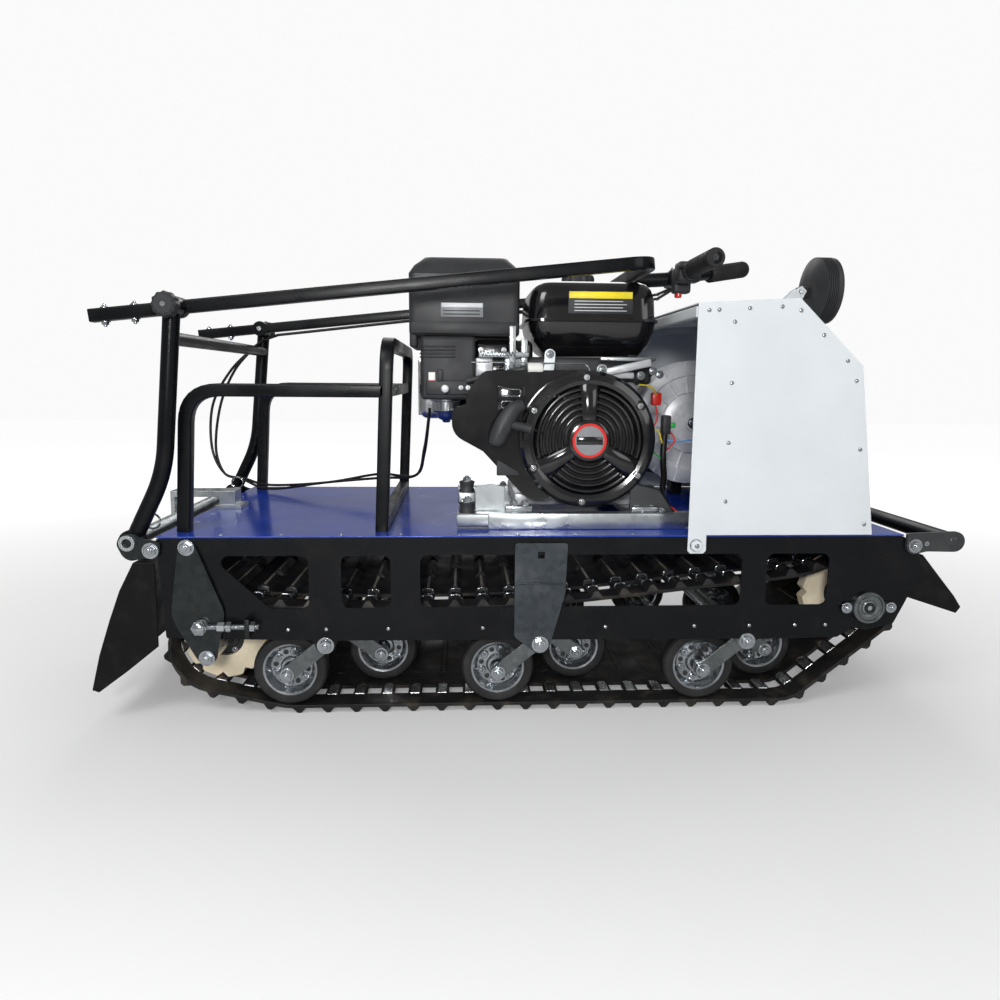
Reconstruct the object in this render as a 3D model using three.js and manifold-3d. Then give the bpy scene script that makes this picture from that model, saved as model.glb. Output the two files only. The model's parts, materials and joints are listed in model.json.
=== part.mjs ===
// Tracked power barrow: a petrol tug on one wide rubber track, with a flat load deck, a cargo rack,
// a folding steering portal and a sheet-metal hood over its belt drive.
// Millimetres. +X is the hood end, +Z is up, Y = 0 is the middle of the track, Z = 0 is the ground.

import * as THREE from "three";
import { mergeVertices } from "three/addons/utils/BufferGeometryUtils.js";
import Module from "manifold-3d";

const wasm = await Module();
wasm.setup();

// ---------------------------------------------------------------- driving dimensions

const GAP = 0.4; // air between neighbours
const PLATE_OUT = 289.7; // outer face of the chassis side plates
const PLATE_T = 3;
const DECK_TOP = 333;
const DECK_T = 2.6;
const REAR_X = -622; // deck ends
const FRONT_X = 655;

const TRACK_HALF = 250; // half width of the belt
const BELT_T = 6;
const LUG_H = 11;
const TRACK_PITCH = 50.5;
const WHEEL_R = 65.4; // road wheel
const WHEEL_Z = LUG_H + BELT_T + 66; // height of the road wheel axles
const ROLL_R = 80.4; // pitch radius of the drive sprocket and of the idler

const DRIVE = { x: 599, z: 203 };
const IDLER = { x: -546, z: 125 };
const BOGIE_X = [-349, 19, 386];
const BOGIE_Z = 142;
const REAR_REACH = -71; // bogie pivot to its outer wheel pair
const FRONT_REACH = 82; // bogie pivot to its inner wheel pair
const OUTER_ROW = 232; // wheel centres either side of the middle
const INNER_ROW = 130;
const DISC_IN = 174; // faces of the drive sprockets and idler wheels
const DISC_OUT = 198;
const DISC_WEB = 5; // half thickness of the web round the axle

const TENSION_PIVOT = { x: -571, z: 316 };
const TENSION_PIN = { x: -552, z: 182 };
const HINGE = { x: -665, z: 324 }; // steering portal hinge
const HEAD = { x: -580, z: 707 }; // handle pivot at the top of the portal
const COLUMN_Y = 275;
const ARM_Y = 250;
const ARM_SLOPE = 0.108;

const CRANK = { x: 105, z: 491 };
const JACKSHAFT = { x: 385, z: 505 };
const BELT_PLANE = 100; // Y of the drive belt
const LAMP_PIVOT = { x: 570, z: 776 };

const SIDES = [["right", -1], ["left", 1]];

// ---------------------------------------------------------------- geometry helpers

// Merge shared corners and turn the faces outwards.
function closed(geometry) {
  const bare = geometry.clone();
  bare.deleteAttribute("normal");
  bare.deleteAttribute("uv");
  const merged = mergeVertices(bare, 1e-4);
  const p = merged.attributes.position;
  const index = merged.index.array;
  const kept = [];
  let volume = 0;
  const [a, b, c] = [new THREE.Vector3(), new THREE.Vector3(), new THREE.Vector3()];
  for (let i = 0; i < index.length; i += 3) {
    const [i0, i1, i2] = [index[i], index[i + 1], index[i + 2]];
    if (i0 === i1 || i1 === i2 || i2 === i0) {
      continue;
    }
    kept.push(i0, i1, i2);
    a.fromBufferAttribute(p, i0);
    b.fromBufferAttribute(p, i1);
    c.fromBufferAttribute(p, i2);
    volume += a.dot(b.cross(c));
  }
  if (volume < 0) {
    for (let i = 0; i < kept.length; i += 3) {
      [kept[i], kept[i + 1]] = [kept[i + 1], kept[i]];
    }
  }
  merged.setIndex(kept);
  return merged;
}

function toManifold(geometry) {
  const g = closed(geometry);
  const mesh = new wasm.Mesh({
    numProp: 3,
    vertProperties: new Float32Array(g.attributes.position.array),
    triVerts: new Uint32Array(g.index.array),
  });
  return new wasm.Manifold(mesh);
}

function fromManifold(solid) {
  const mesh = solid.getMesh();
  const g = new THREE.BufferGeometry();
  g.setAttribute("position", new THREE.BufferAttribute(new Float32Array(mesh.vertProperties), 3));
  g.setIndex(new THREE.BufferAttribute(new Uint32Array(mesh.triVerts), 1));
  return g;
}

// Join all of `parts`, then cut all of `cuts` away.
function shape(parts, cuts = []) {
  let solid = toManifold(parts[0]);
  for (const part of parts.slice(1)) {
    solid = solid.add(toManifold(part));
  }
  for (const cut of cuts) {
    solid = solid.subtract(toManifold(cut));
  }
  return fromManifold(solid);
}

function box(x0, x1, y0, y1, z0, z1) {
  const g = new THREE.BoxGeometry(x1 - x0, y1 - y0, z1 - z0);
  g.translate((x0 + x1) / 2, (y0 + y1) / 2, (z0 + z1) / 2);
  return g;
}

// Round bar along Y, from y0 to y1.
function barY(r, y0, y1, x, z, sides = 20) {
  const g = new THREE.CylinderGeometry(r, r, Math.abs(y1 - y0), sides);
  g.translate(x, (y0 + y1) / 2, z);
  return g;
}

function barZ(r, z0, z1, x, y, sides = 20) {
  const g = new THREE.CylinderGeometry(r, r, z1 - z0, sides);
  g.rotateX(Math.PI / 2);
  g.translate(x, y, (z0 + z1) / 2);
  return g;
}

// Solid of revolution about a line along Y; profile holds [radius, y] pairs.
function turnedY(profile, x, z, sides = 20) {
  const points = profile.map(([r, y]) => new THREE.Vector2(r, y));
  const g = new THREE.LatheGeometry(points, sides);
  g.translate(x, 0, z);
  return g;
}

function turnedZ(profile, x, y, sides = 20) {
  const points = profile.map(([r, z]) => new THREE.Vector2(r, z));
  const g = new THREE.LatheGeometry(points, sides);
  g.rotateX(Math.PI / 2);
  g.translate(x, y, 0);
  return g;
}

// Flat outline in X and Z, from y0 to y1. `outline` is a list of [x, z] or a THREE.Shape.
function plateY(outline, y0, y1, curveSegments = 6) {
  const flat = Array.isArray(outline)
    ? new THREE.Shape(outline.map(([x, z]) => new THREE.Vector2(x, z)))
    : outline;
  const low = Math.min(y0, y1);
  const high = Math.max(y0, y1);
  const g = new THREE.ExtrudeGeometry(flat, { depth: high - low, bevelEnabled: false, curveSegments });
  g.rotateX(Math.PI / 2);
  g.translate(0, high, 0);
  return g;
}

// Flat bar with round ends between two points in X and Z.
function linkY(a, b, width, y0, y1) {
  const angle = Math.atan2(b.z - a.z, b.x - a.x);
  const r = width / 2;
  const flat = new THREE.Shape();
  flat.absarc(a.x, a.z, r, angle + Math.PI / 2, angle + (3 * Math.PI) / 2, false);
  flat.absarc(b.x, b.z, r, angle - Math.PI / 2, angle + Math.PI / 2, false);
  flat.closePath();
  return plateY(flat, y0, y1, 4);
}

// A polyline used as a sweep path: each point of it is one station.
class StationPath extends THREE.Curve {
  constructor(points) {
    super();
    this.points = points;
  }
  getPointAt(u) {
    return this.points[Math.round(u * (this.points.length - 1))].clone();
  }
  getTangentAt(u) {
    const i = Math.round(u * (this.points.length - 1));
    const before = this.points[Math.max(i - 1, 0)];
    const after = this.points[Math.min(i + 1, this.points.length - 1)];
    const here = this.points[i];
    const into = here.clone().sub(before).normalize();
    const out = after.clone().sub(here).normalize();
    return into.add(out).normalize();
  }
}

// Corner points with each inner corner rounded to radius `bend`.
function rounded(corners, bend, steps = 4) {
  const p = corners.map(([x, y, z]) => new THREE.Vector3(x, y, z));
  const out = [p[0]];
  for (let i = 1; i < p.length - 1; i += 1) {
    const start = p[i].clone().add(p[i - 1].clone().sub(p[i]).setLength(bend));
    const end = p[i].clone().add(p[i + 1].clone().sub(p[i]).setLength(bend));
    const arc = new THREE.QuadraticBezierCurve3(start, p[i], end);
    out.push(...arc.getPoints(steps));
  }
  out.push(p[p.length - 1]);
  return out;
}

function circleOutline(r, sides) {
  const points = [];
  for (let i = 0; i < sides; i += 1) {
    const t = (2 * Math.PI * i) / sides;
    points.push(new THREE.Vector2(r * Math.cos(t), r * Math.sin(t)));
  }
  return new THREE.Shape(points);
}

function squareOutline(width) {
  const h = width / 2;
  return new THREE.Shape([[h, -h], [h, h], [-h, h], [-h, -h]].map(([x, y]) => new THREE.Vector2(x, y)));
}

function sweep(outline, corners, bend = 30, steps = 3) {
  const stations = rounded(corners, bend, steps);
  return new THREE.ExtrudeGeometry(outline, {
    steps: stations.length - 1,
    extrudePath: new StationPath(stations),
    bevelEnabled: false,
  });
}

// ---------------------------------------------------------------- materials and the group

const FINISH = {
  blackPaint: { color: 0x111214, roughness: 0.4, metalness: 0.1 },
  bluePaint: { color: 0x21409c, roughness: 0.25, metalness: 0.1 },
  zinc: { color: 0xa9adb0, roughness: 0.45, metalness: 0.8 },
  steel: { color: 0xc4c7c9, roughness: 0.3, metalness: 0.9 },
  castAluminium: { color: 0x9fa2a4, roughness: 0.5, metalness: 0.8 },
  rubber: { color: 0x17171a, roughness: 0.8, metalness: 0 },
  greyPaint: { color: 0xd7dce0, roughness: 0.35, metalness: 0.1 },
  mattPlastic: { color: 0x2b2d2f, roughness: 0.6, metalness: 0 },
  glossPlastic: { color: 0x0c0c0e, roughness: 0.2, metalness: 0 },
  creamPlastic: { color: 0xd9c7a2, roughness: 0.55, metalness: 0 },
};

const machine = new THREE.Group();
machine.name = "tracked_power_barrow";

function add(name, finish, geometry) {
  const mesh = new THREE.Mesh(closed(geometry), new THREE.MeshStandardMaterial(FINISH[finish]));
  mesh.name = name;
  machine.add(mesh);
}

// ---------------------------------------------------------------- track belt

const TRACK_ROLLERS = [
  { x: IDLER.x, z: IDLER.z, r: ROLL_R },
  { x: BOGIE_X[0] + REAR_REACH, z: WHEEL_Z, r: WHEEL_Z - LUG_H - BELT_T / 2 },
  { x: BOGIE_X[2] + FRONT_REACH, z: WHEEL_Z, r: WHEEL_Z - LUG_H - BELT_T / 2 },
  { x: DRIVE.x, z: DRIVE.z, r: ROLL_R },
];
const TOP_RUN_LEAVES = THREE.MathUtils.degToRad(112); // on the drive sprocket
const TOP_RUN_ARRIVES = THREE.MathUtils.degToRad(88); // on the idler
const INNER_STEPS = 4; // points per pitch on the inside of the belt
const TOP_RUN_SAG = [[512, 254], [417, 240], [300, 228], [150, 211], [0, 198], [-200, 193], [-400, 196]];

function onRoller(roller, angle) {
  return new THREE.Vector2(
    roller.x + roller.r * Math.cos(angle),
    roller.z + roller.r * Math.sin(angle),
  );
}

// Direction, from both roller centres, of the belt line that runs under two rollers.
function tangentAngle(a, b) {
  const run = new THREE.Vector2(b.x - a.x, b.z - a.z);
  const tilt = Math.acos((a.r - b.r) / run.length());
  return run.angle() - tilt;
}

// Middle line of the belt as closely spaced points, anticlockwise from the top of the idler.
function trackMiddleLine() {
  const points = [];
  let from = TOP_RUN_ARRIVES;
  TRACK_ROLLERS.forEach((roller, i) => {
    const next = TRACK_ROLLERS[i + 1];
    let to = next ? tangentAngle(roller, next) : TOP_RUN_LEAVES;
    while (to < from) {
      to += 2 * Math.PI;
    }
    const steps = Math.ceil((to - from) * 40);
    for (let k = 0; k <= steps; k += 1) {
      points.push(onRoller(roller, from + ((to - from) * k) / steps));
    }
    from = to;
  });
  const top = [
    points[points.length - 1],
    ...TOP_RUN_SAG.map(([x, z]) => new THREE.Vector2(x, z)),
    points[0],
  ];
  points.push(...new THREE.SplineCurve(top).getPoints(200).slice(1));
  return points;
}

const MIDDLE_LINE = trackMiddleLine();
const LINE_LENGTH = MIDDLE_LINE.reduce(
  (sum, p, i) => (i ? sum + p.distanceTo(MIDDLE_LINE[i - 1]) : 0),
  0,
);
const LUG_COUNT = Math.round(LINE_LENGTH / TRACK_PITCH);

// Point at distance `s` along the belt, `h` outside its middle line.
function onBelt(s, h) {
  let left = ((s % LINE_LENGTH) + LINE_LENGTH) % LINE_LENGTH;
  for (let i = 1; i < MIDDLE_LINE.length; i += 1) {
    const a = MIDDLE_LINE[i - 1];
    const b = MIDDLE_LINE[i];
    const step = a.distanceTo(b);
    if (left <= step && step > 0) {
      const along = b.clone().sub(a).divideScalar(step);
      return [a.x + along.x * left + along.y * h, a.y + along.y * left - along.x * h];
    }
    left -= step;
  }
  return [MIDDLE_LINE[0].x, MIDDLE_LINE[0].y];
}

// Distance along the belt at which its ground run crosses x = 0.
function groundCrossing() {
  let s = 0;
  for (let i = 1; i < MIDDLE_LINE.length; i += 1) {
    const a = MIDDLE_LINE[i - 1];
    const b = MIDDLE_LINE[i];
    if (a.x < 0 && b.x >= 0 && a.y < WHEEL_Z) {
      return s - a.x;
    }
    s += a.distanceTo(b);
  }
  return 0;
}

function trackBelt() {
  const start = groundCrossing();
  const pitch = LINE_LENGTH / LUG_COUNT;
  const outer = [];
  const inner = [];
  for (let k = 0; k < LUG_COUNT; k += 1) {
    const s = start + k * pitch;
    outer.push(onBelt(s - 13, BELT_T / 2));
    outer.push(onBelt(s - 4, BELT_T / 2 + LUG_H));
    outer.push(onBelt(s + 4, BELT_T / 2 + LUG_H));
    outer.push(onBelt(s + 13, BELT_T / 2));
    for (let m = 0; m < INNER_STEPS; m += 1) {
      inner.push(onBelt(s + (m * pitch) / INNER_STEPS, -BELT_T / 2));
    }
  }
  const flat = new THREE.Shape(outer.map(([x, z]) => new THREE.Vector2(x, z)));
  flat.holes.push(new THREE.Path(inner.map(([x, z]) => new THREE.Vector2(x, z))));
  return plateY(flat, -TRACK_HALF, TRACK_HALF);
}

add("track_belt", "rubber", trackBelt());

// ---------------------------------------------------------------- chassis

// Window in a side plate, from x0 to x1; `cutBack` slopes the lower rear corner.
function sideWindow(x0, x1, cutBack = 0) {
  const [z0, z1, c] = [208, 300, 8];
  return [
    [x0 + cutBack + c, z0], [x1 - c, z0], [x1, z0 + c], [x1, z1 - c], [x1 - c, z1],
    [x0 + c, z1], [x0, z1 - c], [x0, cutBack ? z1 - 18 : z0 + c],
  ];
}

const SIDE_OUTLINE = [
  [REAR_X, 330], [-614, 158], [-370, 152], [-363, 132], [-349, 126], [-335, 132], [-328, 151],
  [372, 147], [378, 131], [386, 127], [394, 131], [404, 146], [548, 148], [572, 166], [599, 160],
  [648, 172], [669, 217], [690, 284], [FRONT_X, 330],
];

function sidePlate(side) {
  const flat = new THREE.Shape(SIDE_OUTLINE.map(([x, z]) => new THREE.Vector2(x, z)));
  const windows = [
    sideWindow(-518, -374, 70), sideWindow(-320, -237), sideWindow(-187, 369), sideWindow(413, 524),
  ];
  for (const outline of windows) {
    flat.holes.push(new THREE.Path(outline.map(([x, z]) => new THREE.Vector2(x, z))));
  }
  const bores = [
    [BOGIE_X[0], BOGIE_Z, 8.5],
    [BOGIE_X[2], BOGIE_Z, 8.5],
    [DRIVE.x, DRIVE.z, 20],
  ];
  for (const [x, z, r] of bores) {
    flat.holes.push(new THREE.Path().absarc(x, z, r, 0, 2 * Math.PI, true));
  }
  return plateY(flat, side * (PLATE_OUT - PLATE_T), side * PLATE_OUT, 5);
}

// Lug that the tension screw passes through.
const TENSION_LUG = { x0: -478, x1: -470, y0: 289, y1: 312, z0: 164, z1: 196 };

function tensionLug(side) {
  const { x0, x1, y0, y1, z0, z1 } = TENSION_LUG;
  return box(x0, x1, Math.min(side * y0, side * y1), Math.max(side * y0, side * y1), z0, z1);
}

function screwHole(side) {
  const g = new THREE.CylinderGeometry(8.5, 8.5, 30, 12);
  g.rotateZ(Math.PI / 2);
  g.translate(TENSION_LUG.x0, side * 302, TENSION_PIN.z - 1);
  return g;
}

const CROSS_TUBES = [-600, -110, 300, 636];
const INSIDE = PLATE_OUT - PLATE_T + 0.5;
add("chassis_frame", "blackPaint", shape(
  [
    sidePlate(-1), sidePlate(1),
    ...CROSS_TUBES.map((x) => box(x - 12, x + 12, -INSIDE, INSIDE, 304, 328)),
    tensionLug(-1), tensionLug(1),
  ],
  [screwHole(-1), screwHole(1)],
));

const CHAIN_SLOT = box(430, 590, 253, 284, 320, 340);
add("deck_sheet", "bluePaint", shape(
  [box(REAR_X, FRONT_X, -PLATE_OUT, PLATE_OUT, DECK_TOP - DECK_T, DECK_TOP)],
  [CHAIN_SLOT],
));

// ---------------------------------------------------------------- bumper, hinge beam, hitch, flaps

function bumperPlate(side) {
  const flat = new THREE.Shape();
  flat.moveTo(657, 336);
  flat.lineTo(743, 339);
  flat.absarc(743, 321, 18, Math.PI / 2, -Math.PI / 2, true);
  flat.lineTo(694, 304);
  flat.lineTo(672, 299);
  flat.absarc(672, 314, 15, -Math.PI / 2, -Math.PI, true);
  return plateY(flat, side * (PLATE_OUT + GAP), side * (PLATE_OUT + 6), 5);
}

// Hex bolt head against a plate on the outside.
function boltHead(side, x, z, y, r = 10) {
  return barY(r, side * y, side * (y + 7), x, z, 6);
}

add("front_bumper", "blackPaint", shape([
  bumperPlate(-1), bumperPlate(1),
  barY(14, -(PLATE_OUT + 3), PLATE_OUT + 3, 743, 321, 14),
  ...[-1, 1].map((side) => boltHead(side, 672, 314, PLATE_OUT + 5.5)),
]));

function hingePlate(side) {
  const outline = [
    [-612, 325], [-640, 330], [-655, 340], [-676, 338], [-684, 322], [-674, 300], [-662, 293], [-640, 298],
    [-616, 299],
  ];
  return plateY(outline, side * (PLATE_OUT + GAP), side * (PLATE_OUT + 6));
}

add("rear_hinge_beam", "zinc", shape(
  [
    barY(13, -300, 300, HINGE.x, HINGE.z, 16),
    hingePlate(-1), hingePlate(1),
    ...[-1, 1].map((side) => boltHead(side, -629, 311, PLATE_OUT + 5.5, 11)),
  ],
  [barY(7.7, -301, 301, HINGE.x, HINGE.z, 12)],
));

// Towing bracket: a bolted foot, a bar over the hinge beam and a drilled upright.
add("hitch_bracket", "zinc", shape(
  [
    box(-612, -560, -26, 26, DECK_TOP + GAP, 341),
    box(-604, -573, -22, 22, 340, 369),
    box(-700, -573, -22, 22, 357, 369),
    box(-700, -692, -22, 22, 292, 369),
  ],
  [barZ(9, 300, 380, -646, 0, 14)],
));

// Mud flap: a bent sheet with a gusset at each end. `back` is the sheet line, `gusset` the end outline.
function mudFlap(back, gusset) {
  const sheet = back.map(([x, z]) => [x, z]);
  const inner = back.map(([x, z, dx, dz]) => [x + dx, z + dz]).reverse();
  const half = PLATE_OUT - PLATE_T - GAP;
  return shape([
    plateY([...sheet, ...inner], -half, half),
    ...[-1, 1].map((side) => plateY(gusset, side * (half - 3), side * half)),
  ]);
}

add("rear_flap", "blackPaint", mudFlap(
  [[-663, 288, 3, -1], [-688, 240, 3, -1], [-707, 190, 3, -1], [-728, 128, 3, -1], [-744, 66, 3, -1]],
  [[-662, 287], [-688, 240], [-707, 190], [-728, 128], [-743, 66], [-733, 62], [-682, 100], [-630, 142],
    [-628, 287]],
));

add("front_flap", "blackPaint", mudFlap(
  [[694, 296, -2, -3], [733, 250, -2, -3], [757, 222, -2, -3], [772, 200, -3, -2]],
  [[692, 296], [733, 250], [757, 222], [772, 200], [764, 189], [672, 219], [674, 250]],
));

for (const [label, side] of SIDES) {
  const outline = [
    [-26, 321], [64, 321], [61, 232], [36, 140], [30, 129], [19, 125], [8, 129], [-26, 156],
  ];
  add(`${label}_mid_bracket`, "zinc", shape(
    [plateY(outline, side * (PLATE_OUT + GAP), side * (PLATE_OUT + 4.6))],
    [
      barY(8, side * 285, side * 300, BOGIE_X[1], BOGIE_Z, 14),
      box(13, 25, Math.min(side * 285, side * 300), Math.max(side * 285, side * 300), 294, 306),
    ],
  ));
}

// ---------------------------------------------------------------- cargo rack

const RACK_TUBE = squareOutline(22);
const RACK_Y = 245;
const RACK_FOOT = DECK_TOP + GAP;
const HOOP_X = -250;

function rackRail(side) {
  const y = side * RACK_Y;
  return sweep(RACK_TUBE, [[-590, y, RACK_FOOT], [-575, y, 574], [HOOP_X, y, 574]], 50);
}

add("cargo_rack", "blackPaint", shape(
  [
    rackRail(-1), rackRail(1),
    sweep(RACK_TUBE, [
      [HOOP_X - 5, -RACK_Y, RACK_FOOT], [HOOP_X + 8, -RACK_Y, 654],
      [HOOP_X + 8, RACK_Y, 654], [HOOP_X - 5, RACK_Y, RACK_FOOT],
    ], 40),
    box(HOOP_X - 12, HOOP_X + 10, -RACK_Y, RACK_Y, 563, 585),
    box(HOOP_X - 16, HOOP_X + 6, -RACK_Y, RACK_Y, RACK_FOOT, RACK_FOOT + 22),
  ],
  [box(REAR_X, 0, -PLATE_OUT, PLATE_OUT, DECK_TOP - 20, RACK_FOOT)],
));

// ---------------------------------------------------------------- drive axle, idler and bogies

// Toothed plastic ring with a thinner web round its axle.
function toothedDisc(centre, side, phase) {
  const teeth = 10;
  const [root, tip, opening, bore] = [65, 75, 33, 14.2];
  const points = [];
  for (let i = 0; i < teeth; i += 1) {
    const t = phase + (2 * Math.PI * i) / teeth;
    for (const [r, turn] of [[root, 0], [tip, 0.13], [tip, 0.5]]) {
      points.push(new THREE.Vector2(centre.x + r * Math.cos(t + turn), centre.z + r * Math.sin(t + turn)));
    }
  }
  const flat = new THREE.Shape(points);
  flat.holes.push(new THREE.Path().absarc(centre.x, centre.z, opening, 0, 2 * Math.PI, true));
  const middle = (DISC_IN + DISC_OUT) / 2;
  return shape(
    [
      plateY(flat, side * DISC_IN, side * DISC_OUT, 8),
      barY(opening + 3, side * (middle - DISC_WEB), side * (middle + DISC_WEB), centre.x, centre.z, 24),
    ],
    [barY(bore, side * DISC_IN, side * DISC_OUT, centre.x, centre.z, 20)],
  );
}

add("drive_axle", "steel", barY(12.5, -298, 298, DRIVE.x, DRIVE.z, 20));
add("idler_axle", "steel", shape([
  barY(12.5, -284, 284, IDLER.x, IDLER.z, 20),
  barY(7, -305, 305, IDLER.x, IDLER.z, 12),
  ...[-1, 1].map((side) => boltHead(side, IDLER.x, IDLER.z, 297, 11)),
]));
for (const [label, side] of SIDES) {
  add(`${label}_drive_sprocket`, "creamPlastic", toothedDisc(DRIVE, side, 0));
  add(`${label}_idler_wheel`, "creamPlastic", toothedDisc(IDLER, side, 0.2));
}

const BEARING_BOLT = 40; // from the axle to either bolt

for (const [label, side] of SIDES) {
  const near = PLATE_OUT + GAP;
  const rear = { x: DRIVE.x - BEARING_BOLT, z: DRIVE.z };
  const front = { x: DRIVE.x + BEARING_BOLT, z: DRIVE.z };
  add(`${label}_drive_bearing`, "zinc", shape(
    [
      barY(28.5, side * near, side * (near + 8), DRIVE.x, DRIVE.z, 24),
      linkY(rear, front, 22, side * near, side * (near + 4)),
      ...[rear, front].map((bolt) => boltHead(side, bolt.x, bolt.z, near + 3.5, 8)),
    ],
    [barY(13.2, side * 280, side * 305, DRIVE.x, DRIVE.z, 20)],
  ));
}

const BOGIE_NAMES = ["rear_bogie", "mid_bogie", "front_bogie"];
const STUB_R = 6.5; // end of the pivot bar, in the plate's bore

function bogie(pivotX, headY) {
  const pivot = { x: pivotX, z: BOGIE_Z };
  const rear = { x: pivotX + REAR_REACH, z: WHEEL_Z };
  const front = { x: pivotX + FRONT_REACH, z: WHEEL_Z };
  const parts = [
    barY(14, -284, 284, pivot.x, pivot.z, 12),
    barY(STUB_R, -headY - 3, headY + 3, pivot.x, pivot.z, 10),
    barY(8, -273, 273, rear.x, rear.z, 10),
    barY(8, -177, 177, front.x, front.z, 10),
  ];
  for (const side of [-1, 1]) {
    parts.push(linkY(pivot, rear, 26, side * 268, side * 274));
    parts.push(linkY(pivot, front, 26, side * 172, side * 178));
    parts.push(boltHead(side, rear.x, rear.z, 273, 11));
    parts.push(boltHead(side, pivot.x, pivot.z, headY, 12));
  }
  return shape(parts);
}

BOGIE_X.forEach((x, i) => {
  const isMid = i === 1;
  add(BOGIE_NAMES[i], "zinc", bogie(x, isMid ? PLATE_OUT + 5.2 : PLATE_OUT + GAP));
});

const WHEEL_PROFILE = [
  [9, -18], [24, -18], [24, -6], [47, -6], [47, -18], [WHEEL_R, -16],
  [WHEEL_R, 16], [47, 18], [47, 6], [24, 6], [24, 18], [9, 18], [9, -18],
];

function roadWheel(x, y) {
  return turnedY(WHEEL_PROFILE.map(([r, dy]) => [r, y + dy]), x, WHEEL_Z, 16);
}

BOGIE_X.forEach((pivotX, i) => {
  const axle = BOGIE_NAMES[i].replace("_bogie", "");
  for (const [label, side] of SIDES) {
    add(`${label}_${axle}_outer_wheel`, "rubber", roadWheel(pivotX + REAR_REACH, side * OUTER_ROW));
    add(`${label}_${axle}_inner_wheel`, "rubber", roadWheel(pivotX + FRONT_REACH, side * INNER_ROW));
  }
});

// ---------------------------------------------------------------- track tensioner

for (const [label, side] of SIDES) {
  const [y0, y1] = [PLATE_OUT + GAP, PLATE_OUT + 6.4];
  const outline = [
    [-584, 322], [-571, 331], [-558, 322], [-514, 206], [-516, 186], [-532, 118], [-546, 111],
    [-560, 118], [-598, 188], [-601, 208],
  ];
  add(`${label}_tensioner_plate`, "zinc", shape(
    [
      plateY(outline, side * y0, side * y1),
      boltHead(side, TENSION_PIVOT.x, TENSION_PIVOT.z, y1 - 0.5, 11),
      barY(7, side * (y1 - 0.5), side * 312, TENSION_PIN.x, TENSION_PIN.z, 12),
      boltHead(side, TENSION_PIN.x, TENSION_PIN.z, 308.5, 12),
    ],
    [barY(7.6, side * 285, side * 310, IDLER.x, IDLER.z, 14)],
  ));
  const rod = new THREE.CylinderGeometry(5, 5, 104, 10);
  rod.rotateZ(Math.PI / 2);
  rod.translate(-491, side * 302.3, TENSION_PIN.z - 1);
  const nut = new THREE.CylinderGeometry(9.5, 9.5, 8, 6);
  nut.rotateZ(Math.PI / 2);
  nut.translate(-465.5, side * 302.3, TENSION_PIN.z - 1);
  const lockNut = nut.clone().translate(-42, 0, 0);
  add(`${label}_tension_screw`, "steel", shape(
    [barY(12, side * 297.6, side * 307, TENSION_PIN.x, TENSION_PIN.z, 16), rod, nut, lockNut],
    [barY(7.7, side * 290, side * 320, TENSION_PIN.x, TENSION_PIN.z, 14)],
  ));
}

// ---------------------------------------------------------------- engine

const CRADLE_TOP = 361;
const CRADLE_FOOT = DECK_TOP + GAP;
const cradleRail = (y0, y1) => [
  box(-125, 316, y0, y1, 338, CRADLE_TOP),
  box(-70, 282, y0 - 4, y1, CRADLE_FOOT, CRADLE_TOP),
];
add("engine_cradle", "zinc", shape([
  ...cradleRail(-236, -210),
  ...cradleRail(104, 130),
  box(-50, 10, -236, 130, 352, CRADLE_TOP),
  box(180, 240, -236, 130, 352, CRADLE_TOP),
  barZ(14, CRADLE_TOP - 1, 398, -106, -222, 14),
  plateY([[196, 360], [268, 360], [200, 402]], -232, -228),
]));

// Cylinder with cooling fins, leaning back from the crankcase.
function cylinderBarrel() {
  const parts = [];
  const finCount = 5;
  for (let i = 0; i < finCount; i += 1) {
    parts.push(box(-70, 70, -66, 66, 96 + i * 16, 104 + i * 16));
  }
  parts.push(box(-52, 52, -52, 52, 0, 180));
  parts.push(box(-66, 66, -60, 60, 168, 196));
  for (const g of parts) {
    g.rotateY(-THREE.MathUtils.degToRad(62));
    g.translate(70, -18, 500);
  }
  return parts;
}

const ENGINE_FOOT = CRADLE_TOP + GAP;
add("engine_block", "castAluminium", shape([
  box(-18, 226, -146, 60, ENGINE_FOOT, 384),
  box(4, 210, -150, 58, 380, 592),
  ...cylinderBarrel(),
  barY(48, 57, 65.4, CRANK.x, CRANK.z, 20),
  barY(20, -150, -180, CRANK.x, CRANK.z, 14),
]));

const FAN_R = 122;
function fanShroud() {
  const flat = new THREE.Shape();
  flat.moveTo(-88, 610);
  flat.lineTo(-88, 558);
  flat.lineTo(-134, 545);
  flat.lineTo(-134, 498);
  flat.lineTo(-89, 474);
  flat.lineTo(CRANK.x + FAN_R * Math.cos(-2.5), CRANK.z + FAN_R * Math.sin(-2.5));
  flat.absarc(CRANK.x, CRANK.z, FAN_R, -2.5, Math.PI / 2, false);
  return plateY(flat, -207, -150 - GAP, 14);
}
add("fan_shroud", "glossPlastic", shape(
  [fanShroud()],
  [barY(104, -210, -160, CRANK.x, CRANK.z, 24), barY(22, -165, -140, CRANK.x, CRANK.z, 14)],
));

add("recoil_cover", "glossPlastic", turnedY([
  [0, -246], [36, -246], [40, -240], [92, -238], [114, -224], [118, -207.4], [108, -207.4], [86, -228],
  [0, -230],
], CRANK.x, CRANK.z, 32));

add("recoil_handle", "mattPlastic", shape([
  sweep(circleOutline(11, 10), [[-58, -236, 478], [-50, -236, 516], [-34, -236, 552]], 25),
  sweep(circleOutline(6, 8), [[-52, -236, 516], [-22, -234, 511]], 1),
]));

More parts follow.
